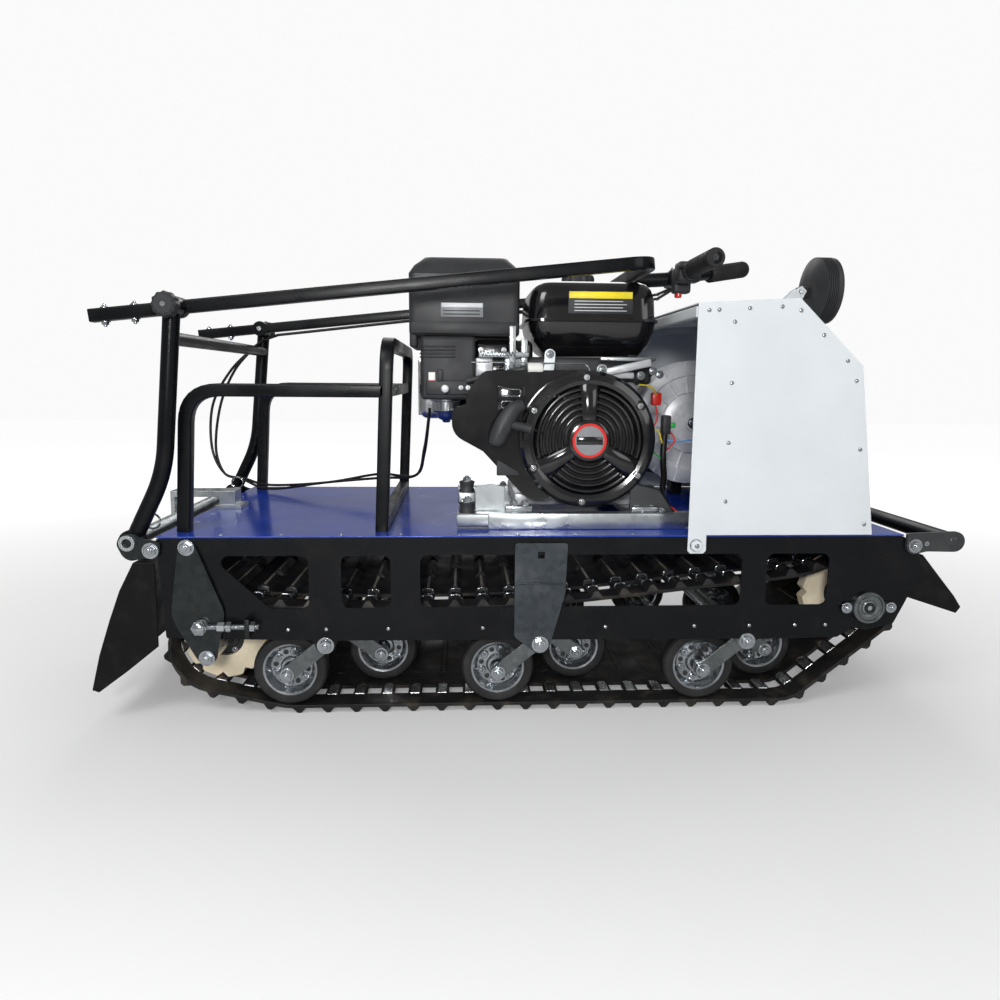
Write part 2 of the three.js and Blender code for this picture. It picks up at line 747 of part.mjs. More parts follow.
function roundedBlock(x0, x1, y0, y1, z0, z1, corner) {
  const flat = new THREE.Shape();
  flat.moveTo(x0 + corner, y0);
  flat.lineTo(x1 - corner, y0);
  flat.absarc(x1 - corner, y0 + corner, corner, -Math.PI / 2, 0, false);
  flat.absarc(x1 - corner, y1 - corner, corner, 0, Math.PI / 2, false);
  flat.absarc(x0 + corner, y1 - corner, corner, Math.PI / 2, Math.PI, false);
  flat.absarc(x0 + corner, y0 + corner, corner, Math.PI, 1.5 * Math.PI, false);
  flat.closePath();
  const g = new THREE.ExtrudeGeometry(flat, { depth: z1 - z0, bevelEnabled: false, curveSegments: 2 });
  g.translate(0, 0, z0);
  return g;
}

const TANK_TOP = 776;
add("fuel_tank", "glossPlastic", shape([
  roundedBlock(10, 242, -146, 68, 662, TANK_TOP - 18, 30),
  roundedBlock(26, 226, -130, 52, 640, TANK_TOP, 26),
  roundedBlock(2, 248, -154, 74, 700, 706, 34),
]));
add("fuel_cap", "mattPlastic", turnedZ([
  [0, TANK_TOP + GAP], [26, TANK_TOP + GAP], [32, TANK_TOP + 6], [32, TANK_TOP + 18], [26, TANK_TOP + 24],
  [0, TANK_TOP + 24],
], 110, -40, 18));

const LID_TOP = 815; // air cleaner
const LID_FOOT = 784;
add("air_cleaner", "mattPlastic", shape([
  roundedBlock(-212, -11, -150, 32, 672, LID_FOOT, 18),
  roundedBlock(-198, -25, -138, 20, LID_FOOT - 6, LID_TOP, 24),
  box(-211, -196, -120, 10, 655, 680),
]));

add("carburettor", "mattPlastic", shape([
  box(-190, -92, -168, -92, 566, 671),
  box(-176, -100, -160, -96, 556, 570),
  barZ(22, 522, 560, -146, -120, 16),
]));
add("choke_lever", "mattPlastic", shape([
  barY(3, -187, -168.5, -146, 578, 8),
  barY(7, -196, -185, -146, 578, 12),
]));

add("muffler", "steel", shape([
  roundedBlock(-206, -66, 56, 140, 512, 640, 22),
  sweep(circleOutline(15, 10), [[-140, 130, 560], [-140, 166, 560], [-176, 186, 550]], 18, 3),
]));

// ---------------------------------------------------------------- belt drive and chain drive

// Pulley with a flat-sided groove for the drive belt, and its shaft.
function pulley(centre, rim, grooveR, halfWidth, shaftR, shaftTo) {
  const y = BELT_PLANE;
  return turnedY([
    [0, y - halfWidth - 10], [shaftR, y - halfWidth - 10], [shaftR + 12, y - halfWidth],
    [rim * 0.6, y - halfWidth], [rim, y - 13], [rim, y - 10], [grooveR, y - 10],
    [grooveR, y + 10], [rim, y + 10], [rim, y + 13], [rim * 0.6, y + halfWidth],
    [shaftR + 12, y + halfWidth], [shaftR, y + halfWidth + 10], [shaftR, shaftTo], [0, shaftTo],
  ], centre.x, centre.z, 20);
}

const BELT_PRIMARY_R = 47;
const BELT_DRIVEN_R = 120;
const DRIVEN_RIM = 134;
add("primary_pulley", "castAluminium", shape([
  pulley(CRANK, 78, BELT_PRIMARY_R - 8, 24, 10, 140),
]));
add("driven_pulley", "castAluminium", shape([
  pulley(JACKSHAFT, DRIVEN_RIM, BELT_DRIVEN_R - 8, 26, 10, 281),
]));

// Outline of a belt around two pulleys at `offset` outside its middle line.
function beltOutline(offset) {
  const a = { ...CRANK, r: BELT_PRIMARY_R + offset };
  const b = { ...JACKSHAFT, r: BELT_DRIVEN_R + offset };
  const under = tangentAngle(a, b);
  const over = tangentAngle(b, a);
  const points = [];
  const arc = (roller, from, to) => {
    for (let k = 0; k <= 16; k += 1) {
      points.push(onRoller(roller, from + ((to - from) * k) / 16));
    }
  };
  arc(b, under, over + 2 * Math.PI * Math.ceil((under - over) / (2 * Math.PI)));
  arc(a, over, under + 2 * Math.PI * Math.ceil((over - under) / (2 * Math.PI)));
  return points;
}
const beltFlat = new THREE.Shape(beltOutline(6));
beltFlat.holes.push(new THREE.Path(beltOutline(-6)));
add("drive_belt", "rubber", plateY(beltFlat, BELT_PLANE - 9, BELT_PLANE + 9));

add("chain_case", "blackPaint", shape(
  [
    linkY(JACKSHAFT, DRIVE, 76, 258, 281),
    barY(26, 165, 262, JACKSHAFT.x, JACKSHAFT.z, 18),
    box(372, 398, 170, 200, DECK_TOP + GAP, 490),
  ],
  [
    barY(10.8, 160, 290, JACKSHAFT.x, JACKSHAFT.z, 20),
    barY(13.4, 250, 290, DRIVE.x, DRIVE.z, 20),
  ],
));

// ---------------------------------------------------------------- hood and headlamp

const HOOD_REAR = 271;
const HOOD_FOOT = DECK_TOP + GAP;
const HOOD_OUT = 292; // outer and inner faces of the side panels
const HOOD_IN = 290.3;
const HOOD_OUTLINE = [
  [HOOD_REAR, 722], [441, 732], [556, 622], [595, HOOD_FOOT], [HOOD_REAR, HOOD_FOOT],
];
const HOOD_INSIDE = [[200, 715.8], [440.2, 729.9], [553.8, 621.2], [592.6, 330], [592, 300], [200, 300]];

// Ear of a side panel that reaches down over the chassis plate to its bolt.
function hoodEar(side) {
  const outline = [
    [HOOD_REAR, 380], [303, 380], [303, 306], [298, 301], [276, 301], [HOOD_REAR, 306],
  ];
  return plateY(outline, side * HOOD_IN, side * HOOD_OUT);
}

// Point on the sloping face of the hood: `along` down the slope, `out` above the sheet.
function onSlope(along, out) {
  const [top, bottom] = [HOOD_OUTLINE[1], HOOD_OUTLINE[2]];
  const run = new THREE.Vector2(bottom[0] - top[0], bottom[1] - top[1]).normalize();
  return [top[0] + run.x * along - run.y * out, top[1] + run.y * along + run.x * out];
}

// Two cheeks standing on the slope of the hood, with a foot plate under them.
function lampPost() {
  const cheek = [
    onSlope(48, 2), onSlope(92, 2), onSlope(75, 114), onSlope(70, 130), onSlope(56, 130), onSlope(51, 114),
  ];
  return [
    plateY(cheek, 9, 13), plateY(cheek, -13, -9),
    plateY([onSlope(30, -1), onSlope(110, -1), onSlope(110, 4), onSlope(30, 4)], -24, 24),
  ];
}

add("hood", "greyPaint", shape(
  [
    shape([plateY(HOOD_OUTLINE, -HOOD_OUT, HOOD_OUT)], [plateY(HOOD_INSIDE, -HOOD_IN, HOOD_IN)]),
    hoodEar(-1), hoodEar(1), ...lampPost(),
    ...[-1, 1].map((side) => boltHead(side, 285, 316, HOOD_OUT - 0.5, 10)),
  ],
  [barY(4.6, -20, 20, LAMP_PIVOT.x, LAMP_PIVOT.z, 12)],
));

function headlamp() {
  const shell = new THREE.LatheGeometry(
    [[0, 0], [30, 0], [62, 10], [66, 16], [66, 42], [60, 46], [56, 42], [0, 42]].map(
      ([r, d]) => new THREE.Vector2(r, d),
    ),
    28,
  );
  shell.rotateZ(-Math.PI / 2);
  shell.translate(587, 0, 779);
  return shape([
    shell,
    box(566, 592, -8, 8, 766, 786),
    barY(4, -15, 15, LAMP_PIVOT.x, LAMP_PIVOT.z, 10),
  ]);
}
add("headlamp", "mattPlastic", headlamp());

// ---------------------------------------------------------------- steering portal and handle

const COLUMN_TUBE = circleOutline(13.5, 10);

function portalColumn(side) {
  const y = side * COLUMN_Y;
  const corners = [[HINGE.x + 8, y, HINGE.z + 14], [-607, y, 438], [HEAD.x + 1, y, HEAD.z + 12]];
  return sweep(COLUMN_TUBE, corners, 40);
}

add("steering_portal", "blackPaint", shape(
  [
    portalColumn(-1), portalColumn(1),
    barY(11, -COLUMN_Y, COLUMN_Y, -583, 656, 12),
    ...[-1, 1].map((side) => barY(19, side * 262, side * 288, HINGE.x, HINGE.z, 18)),
    ...[-1, 1].map((side) => barY(17, side * 262, side * 288.5, HEAD.x, HEAD.z, 16)),
  ],
  [
    barY(13.5, -290, 290, HINGE.x, HINGE.z, 18),
    ...[-1, 1].map((side) => barY(5.6, side * 255, side * 295, HEAD.x, HEAD.z, 12)),
  ],
));

const ARM_TUBE = squareOutline(21);
const armZ = (x) => HEAD.z + ARM_SLOPE * (x - HEAD.x);
const ARM_END = -719; // rear tips of the two arms
const ARM_BEND = 205; // the bend that joins them
const BAR_Z = 797;

add("handlebar_frame", "blackPaint", shape(
  [
    sweep(ARM_TUBE, [
      [ARM_END, -ARM_Y, armZ(ARM_END)], [ARM_BEND, -ARM_Y, armZ(ARM_BEND)],
      [ARM_BEND, ARM_Y, armZ(ARM_BEND)], [ARM_END, ARM_Y, armZ(ARM_END)],
    ], 40),
    sweep(circleOutline(14, 10), [[ARM_BEND, 0, armZ(ARM_BEND)], [318, -16, BAR_Z]], 1),
    sweep(circleOutline(11, 10), [[306, -262, BAR_Z + 2], [312, -16, BAR_Z], [480, 80, 831]], 24),
    barY(16, -262, -140, 306, BAR_Z + 2, 12),
    sweep(circleOutline(17, 12), [[392, 30, 813], [484, 82, 832]], 1),
    ...[-1, 1].map((side) => barY(17, side * 238, side * 260.8, HEAD.x, HEAD.z, 16)),
  ],
  [-1, 1].map((side) => barY(5.6, side * 230, side * 265, HEAD.x, HEAD.z, 12)),
));

for (const [label, side] of SIDES) {
  const profile = [
    [0, 232], [5, 232], [5, 289], [19, 289], [21, 294], [21, 306], [16, 312], [0, 312],
  ].map(([r, y]) => [r, side * y]);
  add(`${label}_fold_knob`, "mattPlastic", turnedY(profile, HEAD.x, HEAD.z, 18));
}

add("throttle_lever", "mattPlastic", shape(
  [
    barY(17, -128, -116, 309.4, BAR_Z + 0.8, 16),
    box(281, 294, -124, -118, BAR_Z + 4, BAR_Z + 11),
    box(279, 288, -152, -118, BAR_Z + 4, BAR_Z + 11),
  ],
  [barY(12.2, -135, -110, 309.4, BAR_Z + 0.8, 16)],
));

export default machine;
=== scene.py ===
import json
import math

import bmesh
import bpy
from mathutils import Matrix, Vector
from mathutils.geometry import tessellate_polygon


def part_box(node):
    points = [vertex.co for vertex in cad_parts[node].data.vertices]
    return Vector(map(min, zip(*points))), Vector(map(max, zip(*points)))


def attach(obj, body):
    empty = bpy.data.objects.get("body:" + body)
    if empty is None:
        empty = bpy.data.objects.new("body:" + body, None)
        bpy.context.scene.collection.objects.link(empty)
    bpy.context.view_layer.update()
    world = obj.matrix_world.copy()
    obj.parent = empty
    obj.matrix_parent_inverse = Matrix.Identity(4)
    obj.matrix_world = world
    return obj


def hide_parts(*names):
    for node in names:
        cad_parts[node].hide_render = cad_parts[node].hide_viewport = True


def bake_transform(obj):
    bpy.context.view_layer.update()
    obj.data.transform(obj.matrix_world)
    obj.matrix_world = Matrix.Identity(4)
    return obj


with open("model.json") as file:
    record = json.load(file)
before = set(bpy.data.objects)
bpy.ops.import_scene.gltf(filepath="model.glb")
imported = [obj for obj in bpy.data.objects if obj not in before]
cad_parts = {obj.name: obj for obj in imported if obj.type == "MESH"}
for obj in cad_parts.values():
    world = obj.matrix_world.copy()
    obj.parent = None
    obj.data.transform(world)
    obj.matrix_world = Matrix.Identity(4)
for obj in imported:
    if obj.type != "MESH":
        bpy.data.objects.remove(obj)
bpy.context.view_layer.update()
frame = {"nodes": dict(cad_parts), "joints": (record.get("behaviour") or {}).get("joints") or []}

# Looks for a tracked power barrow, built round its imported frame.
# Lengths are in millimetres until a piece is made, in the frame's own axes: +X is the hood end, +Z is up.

MM = 0.001
SIDES = (("right", -1), ("left", 1))
PIVOT = {j["name"]: Vector(j["pos_m"]) / MM for j in frame["joints"] if "pos_m" in j}
Y_AXIS = Vector((0, 1, 0))
Z_AXIS = Vector((0, 0, 1))


def at(x, y, z):
    return Vector((x, y, z))


def placer(origin):
    """Makes points that are measured from `origin`."""
    return lambda x, y, z: origin + at(x, y, z)


def low(node):
    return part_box(node)[0] / MM


def high(node):
    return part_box(node)[1] / MM


OUT = high("deck_sheet").y  # outer face of the side plates
DECK = high("deck_sheet").z
HEAD = PIVOT["handle_fold"]
HINGE = PIVOT["portal_fold"]
CRANK = PIVOT["crank_spin"]
JACK = PIVOT["jackshaft_spin"]
DRIVE = PIVOT["drive_spin"]
IDLER = PIVOT["idler_spin"]

# ---------------------------------------------------------------- materials

LOOKS = {}


class Surface:
    """A node material that is built up step by step."""

    def __init__(self, name):
        self.material = bpy.data.materials.new(name)
        self.material.use_nodes = True
        self.tree = self.material.node_tree
        self.shader = self.tree.nodes["Principled BSDF"]
        self.coords = self.tree.nodes.new("ShaderNodeTexCoord").outputs["Object"]
        LOOKS[name] = self.material

    def node(self, kind):
        return self.tree.nodes.new(kind)

    def link(self, source, target):
        self.tree.links.new(source, target)

    def noise(self, scale, detail=5.0, stretch=(1, 1, 1)):
        mapping = self.node("ShaderNodeMapping")
        mapping.inputs["Scale"].default_value = stretch
        self.link(self.coords, mapping.inputs["Vector"])
        texture = self.node("ShaderNodeTexNoise")
        texture.inputs["Scale"].default_value = scale
        texture.inputs["Detail"].default_value = detail
        self.link(mapping.outputs["Vector"], texture.inputs["Vector"])
        return texture.outputs["Fac"]

    def cells(self, scale):
        texture = self.node("ShaderNodeTexVoronoi")
        texture.inputs["Scale"].default_value = scale
        self.link(self.coords, texture.inputs["Vector"])
        grey = self.node("ShaderNodeRGBToBW")
        self.link(texture.outputs["Color"], grey.inputs["Color"])
        return grey.outputs["Val"]

    def spread(self, source, start, end, to_start, to_end):
        remap = self.node("ShaderNodeMapRange")
        values = {"From Min": start, "From Max": end, "To Min": to_start, "To Max": to_end}
        for key, value in values.items():
            remap.inputs[key].default_value = value
        self.link(source, remap.inputs["Value"])
        return remap.outputs["Result"]

    def mix(self, factor, first, second):
        blend = self.node("ShaderNodeMix")
        blend.data_type = "RGBA"
        for socket, value in ((0, factor), (6, first), (7, second)):
            if isinstance(value, (tuple, list)):
                blend.inputs[socket].default_value = (*value, 1)
            elif isinstance(value, (int, float)):
                blend.inputs[socket].default_value = value
            else:
                self.link(value, blend.inputs[socket])
        return blend.outputs[2]

    def edges(self, radius):
        """1 on edges within `radius` metres, 0 on flat faces."""
        bevel = self.node("ShaderNodeBevel")
        bevel.samples = 4
        bevel.inputs["Radius"].default_value = radius
        geometry = self.node("ShaderNodeNewGeometry")
        dot = self.node("ShaderNodeVectorMath")
        dot.operation = "DOT_PRODUCT"
        self.link(bevel.outputs["Normal"], dot.inputs[0])
        self.link(geometry.outputs["Normal"], dot.inputs[1])
        return self.spread(dot.outputs["Value"], 0.97, 0.8, 0.0, 1.0)

    def bump(self, *layers):
        """Each layer is (height source, strength, distance in metres)."""
        normal = None
        for source, strength, distance in layers:
            step = self.node("ShaderNodeBump")
            step.inputs["Strength"].default_value = strength
            step.inputs["Distance"].default_value = distance
            self.link(source, step.inputs["Height"])
            if normal is not None:
                self.link(normal, step.inputs["Normal"])
            normal = step.outputs["Normal"]
        self.link(normal, self.shader.inputs["Normal"])

    def set(self, **values):
        for key, value in values.items():
            socket = self.shader.inputs[key.replace("_", " ")]
            if hasattr(value, "links"):
                self.link(value, socket)
            else:
                socket.default_value = value


def shades(colour, amount):
    return tuple(c * (1 - amount) for c in colour), tuple(min(1, c * (1 + amount)) for c in colour)


def painted(name, colour, rough, coat, wear, wear_amount, dust, dust_amount, shine=0.5, vary=0.22):
    """Paint that varies in tone, with dust in patches and chips along its edges."""
    s = Surface(name)
    dark, light = shades(colour, vary)
    patches = s.noise(7)
    tone = s.mix(s.spread(patches, 0.3, 0.7, 0, 1), dark, light)
    dusty = s.spread(s.noise(23, 8), 0.5, 0.78, 0, dust_amount)
    tone = s.mix(dusty, tone, dust)
    chips = s.spread(s.noise(160, 3), 0.5, 0.62, 0, wear_amount)
    worn = s.node("ShaderNodeMath")
    worn.operation = "MULTIPLY"
    s.link(chips, worn.inputs[0])
    s.link(s.edges(0.0012), worn.inputs[1])
    tone = s.mix(worn.outputs[0], tone, wear)
    s.set(Base_Color=tone, Roughness=s.spread(s.noise(11, 7), 0.3, 0.7, rough * 0.65, rough * 1.45))
    s.set(Coat_Weight=coat, Coat_Roughness=0.12, Specular_IOR_Level=shine)
    s.bump((s.noise(420, 2), 0.12, 0.0004), (s.noise(9), 0.08, 0.004))


def metal(name, colour, rough, mottle, scratch, rough_spread, stain, stain_amount, metallic=0.95):
    """Bare or plated metal with a spangle, cloudy shine, fine scratches and stains."""
    s = Surface(name)
    dark, light = shades(colour, mottle)
    tone = s.mix(s.spread(s.cells(95), 0.2, 0.8, 0, 1), dark, light)
    tone = s.mix(s.spread(s.noise(14, 8), 0.52, 0.75, 0, stain_amount), tone, stain)
    cloud = s.spread(s.noise(26, 6), 0.3, 0.7, rough * (1 - rough_spread), rough * (1 + rough_spread))
    s.set(Base_Color=tone, Roughness=cloud, Metallic=metallic)
    s.bump((s.noise(90, 2, (1, 1, 18)), scratch, 0.0005), (s.noise(240, 3), 0.06, 0.0004))


def moulded(name, colour, rough, grain, coat=0.0, dust=(0.3, 0.28, 0.25), dust_amount=0.04, soft=0.0,
            shine=0.35):
    """Plastic or rubber with a fine grain and a little dust."""
    s = Surface(name)
    dark, light = shades(colour, 0.18)
    tone = s.mix(s.spread(s.noise(18, 6), 0.3, 0.7, 0, 1), dark, light)
    tone = s.mix(s.spread(s.noise(34, 8), 0.5, 0.8, 0, dust_amount), tone, dust)
    s.set(Base_Color=tone, Roughness=s.spread(s.noise(15, 6), 0.3, 0.7, rough * 0.7, rough * 1.35))
    s.set(Coat_Weight=coat, Coat_Roughness=0.08, Subsurface_Weight=soft, Subsurface_Scale=0.002)
    s.set(Specular_IOR_Level=shine)
    s.bump((s.noise(1400, 2), grain, 0.0003), (s.noise(30), 0.05, 0.002))


def lens(name):
    """Clear plastic with faint upright ribs."""
    s = Surface(name)
    ribs = s.noise(60, 1, (1, 14, 1))
    s.set(Base_Color=(0.92, 0.95, 0.97, 1), Roughness=s.spread(s.noise(40), 0.3, 0.7, 0.02, 0.09))
    s.set(Transmission_Weight=0.9, IOR=1.46)
    s.bump((ribs, 0.35, 0.0012))


painted("black paint", (0.0035, 0.004, 0.005), rough=0.3, coat=0.03, wear=(0.1, 0.1, 0.11), wear_amount=0.3,
        dust=(0.04, 0.037, 0.033), dust_amount=0.1, shine=0.16)
painted("blue paint", (0.010, 0.045, 0.36), rough=0.2, coat=0.35, wear=(0.12, 0.2, 0.55), wear_amount=0.5,
        dust=(0.05, 0.08, 0.3), dust_amount=0.35, shine=0.35)
painted("grey paint", (0.64, 0.675, 0.7), rough=0.4, coat=0.12, wear=(0.52, 0.54, 0.56), wear_amount=0.12,
        dust=(0.56, 0.59, 0.62), dust_amount=0.16, shine=0.4, vary=0.04)
painted("dark steel", (0.03, 0.032, 0.034), rough=0.32, coat=0.1, wear=(0.25, 0.25, 0.25), wear_amount=0.5,
        dust=(0.1, 0.095, 0.09), dust_amount=0.3)
metal("zinc", (0.5, 0.53, 0.54), 0.32, 0.05, 0.1, 0.3, (0.3, 0.29, 0.27), 0.1)
metal("plate zinc", (0.07, 0.08, 0.09), 0.28, 0.12, 0.25, 0.45, (0.16, 0.17, 0.18), 0.5)
metal("dull zinc", (0.04, 0.046, 0.048), 0.33, 0.12, 0.3, 0.45, (0.05, 0.042, 0.03), 0.4)
metal("bright zinc", (0.42, 0.445, 0.47), 0.2, 0.08, 0.08, 0.5, (0.2, 0.18, 0.16), 0.2)
metal("rim zinc", (0.38, 0.4, 0.42), 0.2, 0.06, 0.12, 0.5, (0.08, 0.075, 0.07), 0.3)
metal("arm zinc", (0.17, 0.185, 0.19), 0.3, 0.12, 0.25, 0.45, (0.09, 0.08, 0.06), 0.3)
# A paler, less metallic copy of cast alloy for the driven pulley: painted light, standing in for the strong
# light that falls on it.
metal("alloy with painted light", (0.78, 0.79, 0.81), 0.4, 0.05, 0.08, 0.3, (0.3, 0.29, 0.28), 0.15, 0.25)
metal("cast alloy", (0.56, 0.57, 0.59), 0.42, 0.06, 0.08, 0.3, (0.2, 0.19, 0.18), 0.15, 0.45)
metal("steel", (0.5, 0.51, 0.52), 0.26, 0.06, 0.3, 0.4, (0.14, 0.1, 0.07), 0.2)
moulded("rubber", (0.0065, 0.0065, 0.0072), 0.58, 0.3, 0.0, (0.17, 0.135, 0.09), 0.28)
moulded("flap sheet", (0.004, 0.004, 0.0045), 0.42, 0.12, 0.0, (0.1, 0.09, 0.075), 0.1, shine=0.16)
moulded("tyre", (0.014, 0.014, 0.015), 0.5, 0.25, 0.0, (0.11, 0.1, 0.085), 0.16)
moulded("worn rubber", (0.36, 0.33, 0.27), 0.7, 0.3, 0.0, (0.05, 0.045, 0.04), 0.9)
moulded("cream plastic", (0.84, 0.74, 0.55), 0.42, 0.12, 0.0, (0.3, 0.2, 0.12), 0.28, 0.1)
moulded("gloss black", (0.0055, 0.0055, 0.0065), 0.13, 0.03, 0.7)
moulded("matt black", (0.028, 0.029, 0.031), 0.48, 0.35, 0.0, (0.2, 0.2, 0.2), 0.05)
moulded("soft grip", (0.012, 0.012, 0.013), 0.62, 0.5)
moulded("grey label", (0.2, 0.21, 0.22), 0.4, 0.05)
moulded("silver label", (0.62, 0.64, 0.66), 0.35, 0.05)
moulded("yellow label", (0.85, 0.68, 0.02), 0.35, 0.05)
moulded("white plastic", (0.72, 0.72, 0.69), 0.35, 0.05)
moulded("red plastic", (0.62, 0.02, 0.015), 0.3, 0.05, 0.3)
moulded("blue plastic", (0.01, 0.022, 0.11), 0.25, 0.05, 0.4)
moulded("pale blue plastic", (0.1, 0.3, 0.7), 0.35, 0.05)
moulded("green plastic", (0.03, 0.42, 0.08), 0.35, 0.05)
moulded("cable", (0.009, 0.009, 0.009), 0.4, 0.1)
lens("lamp glass")

# ---------------------------------------------------------------- outlines and paths


def face_loops(node, level, tolerance=0.06):
    """Outline and holes, as lists of (x, z), of a CAD node's flat face at y = level."""
    mesh = frame["nodes"][node].data
    edges = set()
    for face in mesh.polygons:
        corners = [mesh.vertices[i].co / MM for i in face.vertices]
        if any(abs(c.y - level) > tolerance for c in corners):
            continue
        flat = [(round(c.x, 2), round(c.z, 2)) for c in corners]
        for edge in zip(flat, flat[1:] + flat[:1]):
            if edge[::-1] in edges:
                edges.remove(edge[::-1])
            else:
                edges.add(edge)
    follow = dict(sorted(edges))
    loops = []
    while follow:
        first = next(iter(follow))
        loop = []
        here = first
        while here in follow:
            loop.append(here)
            here = follow.pop(here)
        if len(loop) > 2:
            loops.append(loop)
    return sorted(loops, key=lambda loop: -abs(area(loop)))


def area(loop):
    return sum(a[0] * b[1] - b[0] * a[1] for a, b in zip(loop, loop[1:] + loop[:1])) / 2


def anticlockwise(loop):
    return loop if area(loop) > 0 else loop[::-1]


def round_loop(loop, radius, steps=5):
    """A closed 2D outline with its corners rounded and its straight runs merged."""
    points = [Vector(p) for p in loop]
    count = len(points)
    corners = []
    for i, here in enumerate(points):
        back = here - points[i - 1]
        ahead = points[(i + 1) % count] - here
        if back.length > 0.01 and ahead.length > 0.01 and back.angle(ahead) > math.radians(1):
            corners.append(here)
    out = []
    for i, here in enumerate(corners):
        before = corners[i - 1] - here
        after = corners[(i + 1) % len(corners)] - here
        reach = min(radius, before.length * 0.48, after.length * 0.48)
        start = here + before.normalized() * reach
        end = here + after.normalized() * reach
        for k in range(steps + 1):
            t = k / steps
            out.append(tuple(start * (1 - t) ** 2 + here * 2 * t * (1 - t) + end * t * t))
    return out


def bend_path(corners, radius, steps=8):
    """An open 3D path with its inner corners rounded."""
    points = [Vector(c) for c in corners]
    out = [points[0]]
    for before, here, after in zip(points, points[1:], points[2:]):
        back = before - here
        ahead = after - here
        reach = min(radius, back.length * 0.48, ahead.length * 0.48)
        start = here + back.normalized() * reach
        end = here + ahead.normalized() * reach
        for k in range(steps + 1):
            t = k / steps
            out.append(start * (1 - t) ** 2 + here * 2 * t * (1 - t) + end * t * t)
    out.append(points[-1])
    return out


def flowing(points, steps=10):
    """A smooth 3D path through all of the points."""
    p = [Vector(q) for q in points]
    p = [p[0] * 2 - p[1], *p, p[-1] * 2 - p[-2]]
    out = []
    for a, b, c, d in zip(p, p[1:], p[2:], p[3:]):
        for k in range(steps):
            t = k / steps
            out.append(0.5 * (2 * b + (c - a) * t + (2 * a - 5 * b + 4 * c - d) * t ** 2
                              + (3 * b - a - 3 * c + d) * t ** 3))
    out.append(p[-2])
    return out


def arc(centre, radius, start, end, steps, y):
    """Points on a circle about a line along Y, in degrees, 0 towards +X and 90 up."""
    out = []
    for k in range(steps + 1):
        t = math.radians(start + (end - start) * k / steps)
        out.append(at(centre.x + radius * math.cos(t), y, centre.z + radius * math.sin(t)))
    return out


def spot(centre, radius, angle, y):
    """One point of such a circle."""
    return arc(centre, radius, angle, angle, 1, y)[0]


def lobed(radius, depth, lobes, sides):
    """Outline of a knob with finger hollows round it."""
    out = []
    for i in range(sides):
        t = 2 * math.pi * i / sides
        reach = radius + depth * math.cos(lobes * t)
        out.append((reach * math.cos(t), reach * math.sin(t)))
    return out


def circle(radius, sides=16):
    turn = 2 * math.pi / sides
    return [(radius * math.cos(i * turn), radius * math.sin(i * turn)) for i in range(sides)]


def square(width, height, corner=2.5, steps=3):
    """Outline of a rectangular tube with rounded corners."""
    out = []
    for i, (sx, sy) in enumerate(((1, 1), (-1, 1), (-1, -1), (1, -1))):
        for k in range(steps + 1):
            t = math.pi / 2 * (i + k / steps)
            x = sx * (width / 2 - corner) + corner * math.cos(t)
            y = sy * (height / 2 - corner) + corner * math.sin(t)
            out.append((x, y))
    return out


def link_loop(a, b, width, steps=10):
    """Outline of a flat bar with round ends between two points, in X and Z."""
    tilt = math.atan2(b.z - a.z, b.x - a.x)
    out = []
    for centre, start in ((b, tilt - math.pi / 2), (a, tilt + math.pi / 2)):
        for k in range(steps + 1):
            t = start + math.pi * k / steps
            out.append((centre.x + width / 2 * math.cos(t), centre.z + width / 2 * math.sin(t)))
    return out


# ---------------------------------------------------------------- mesh building


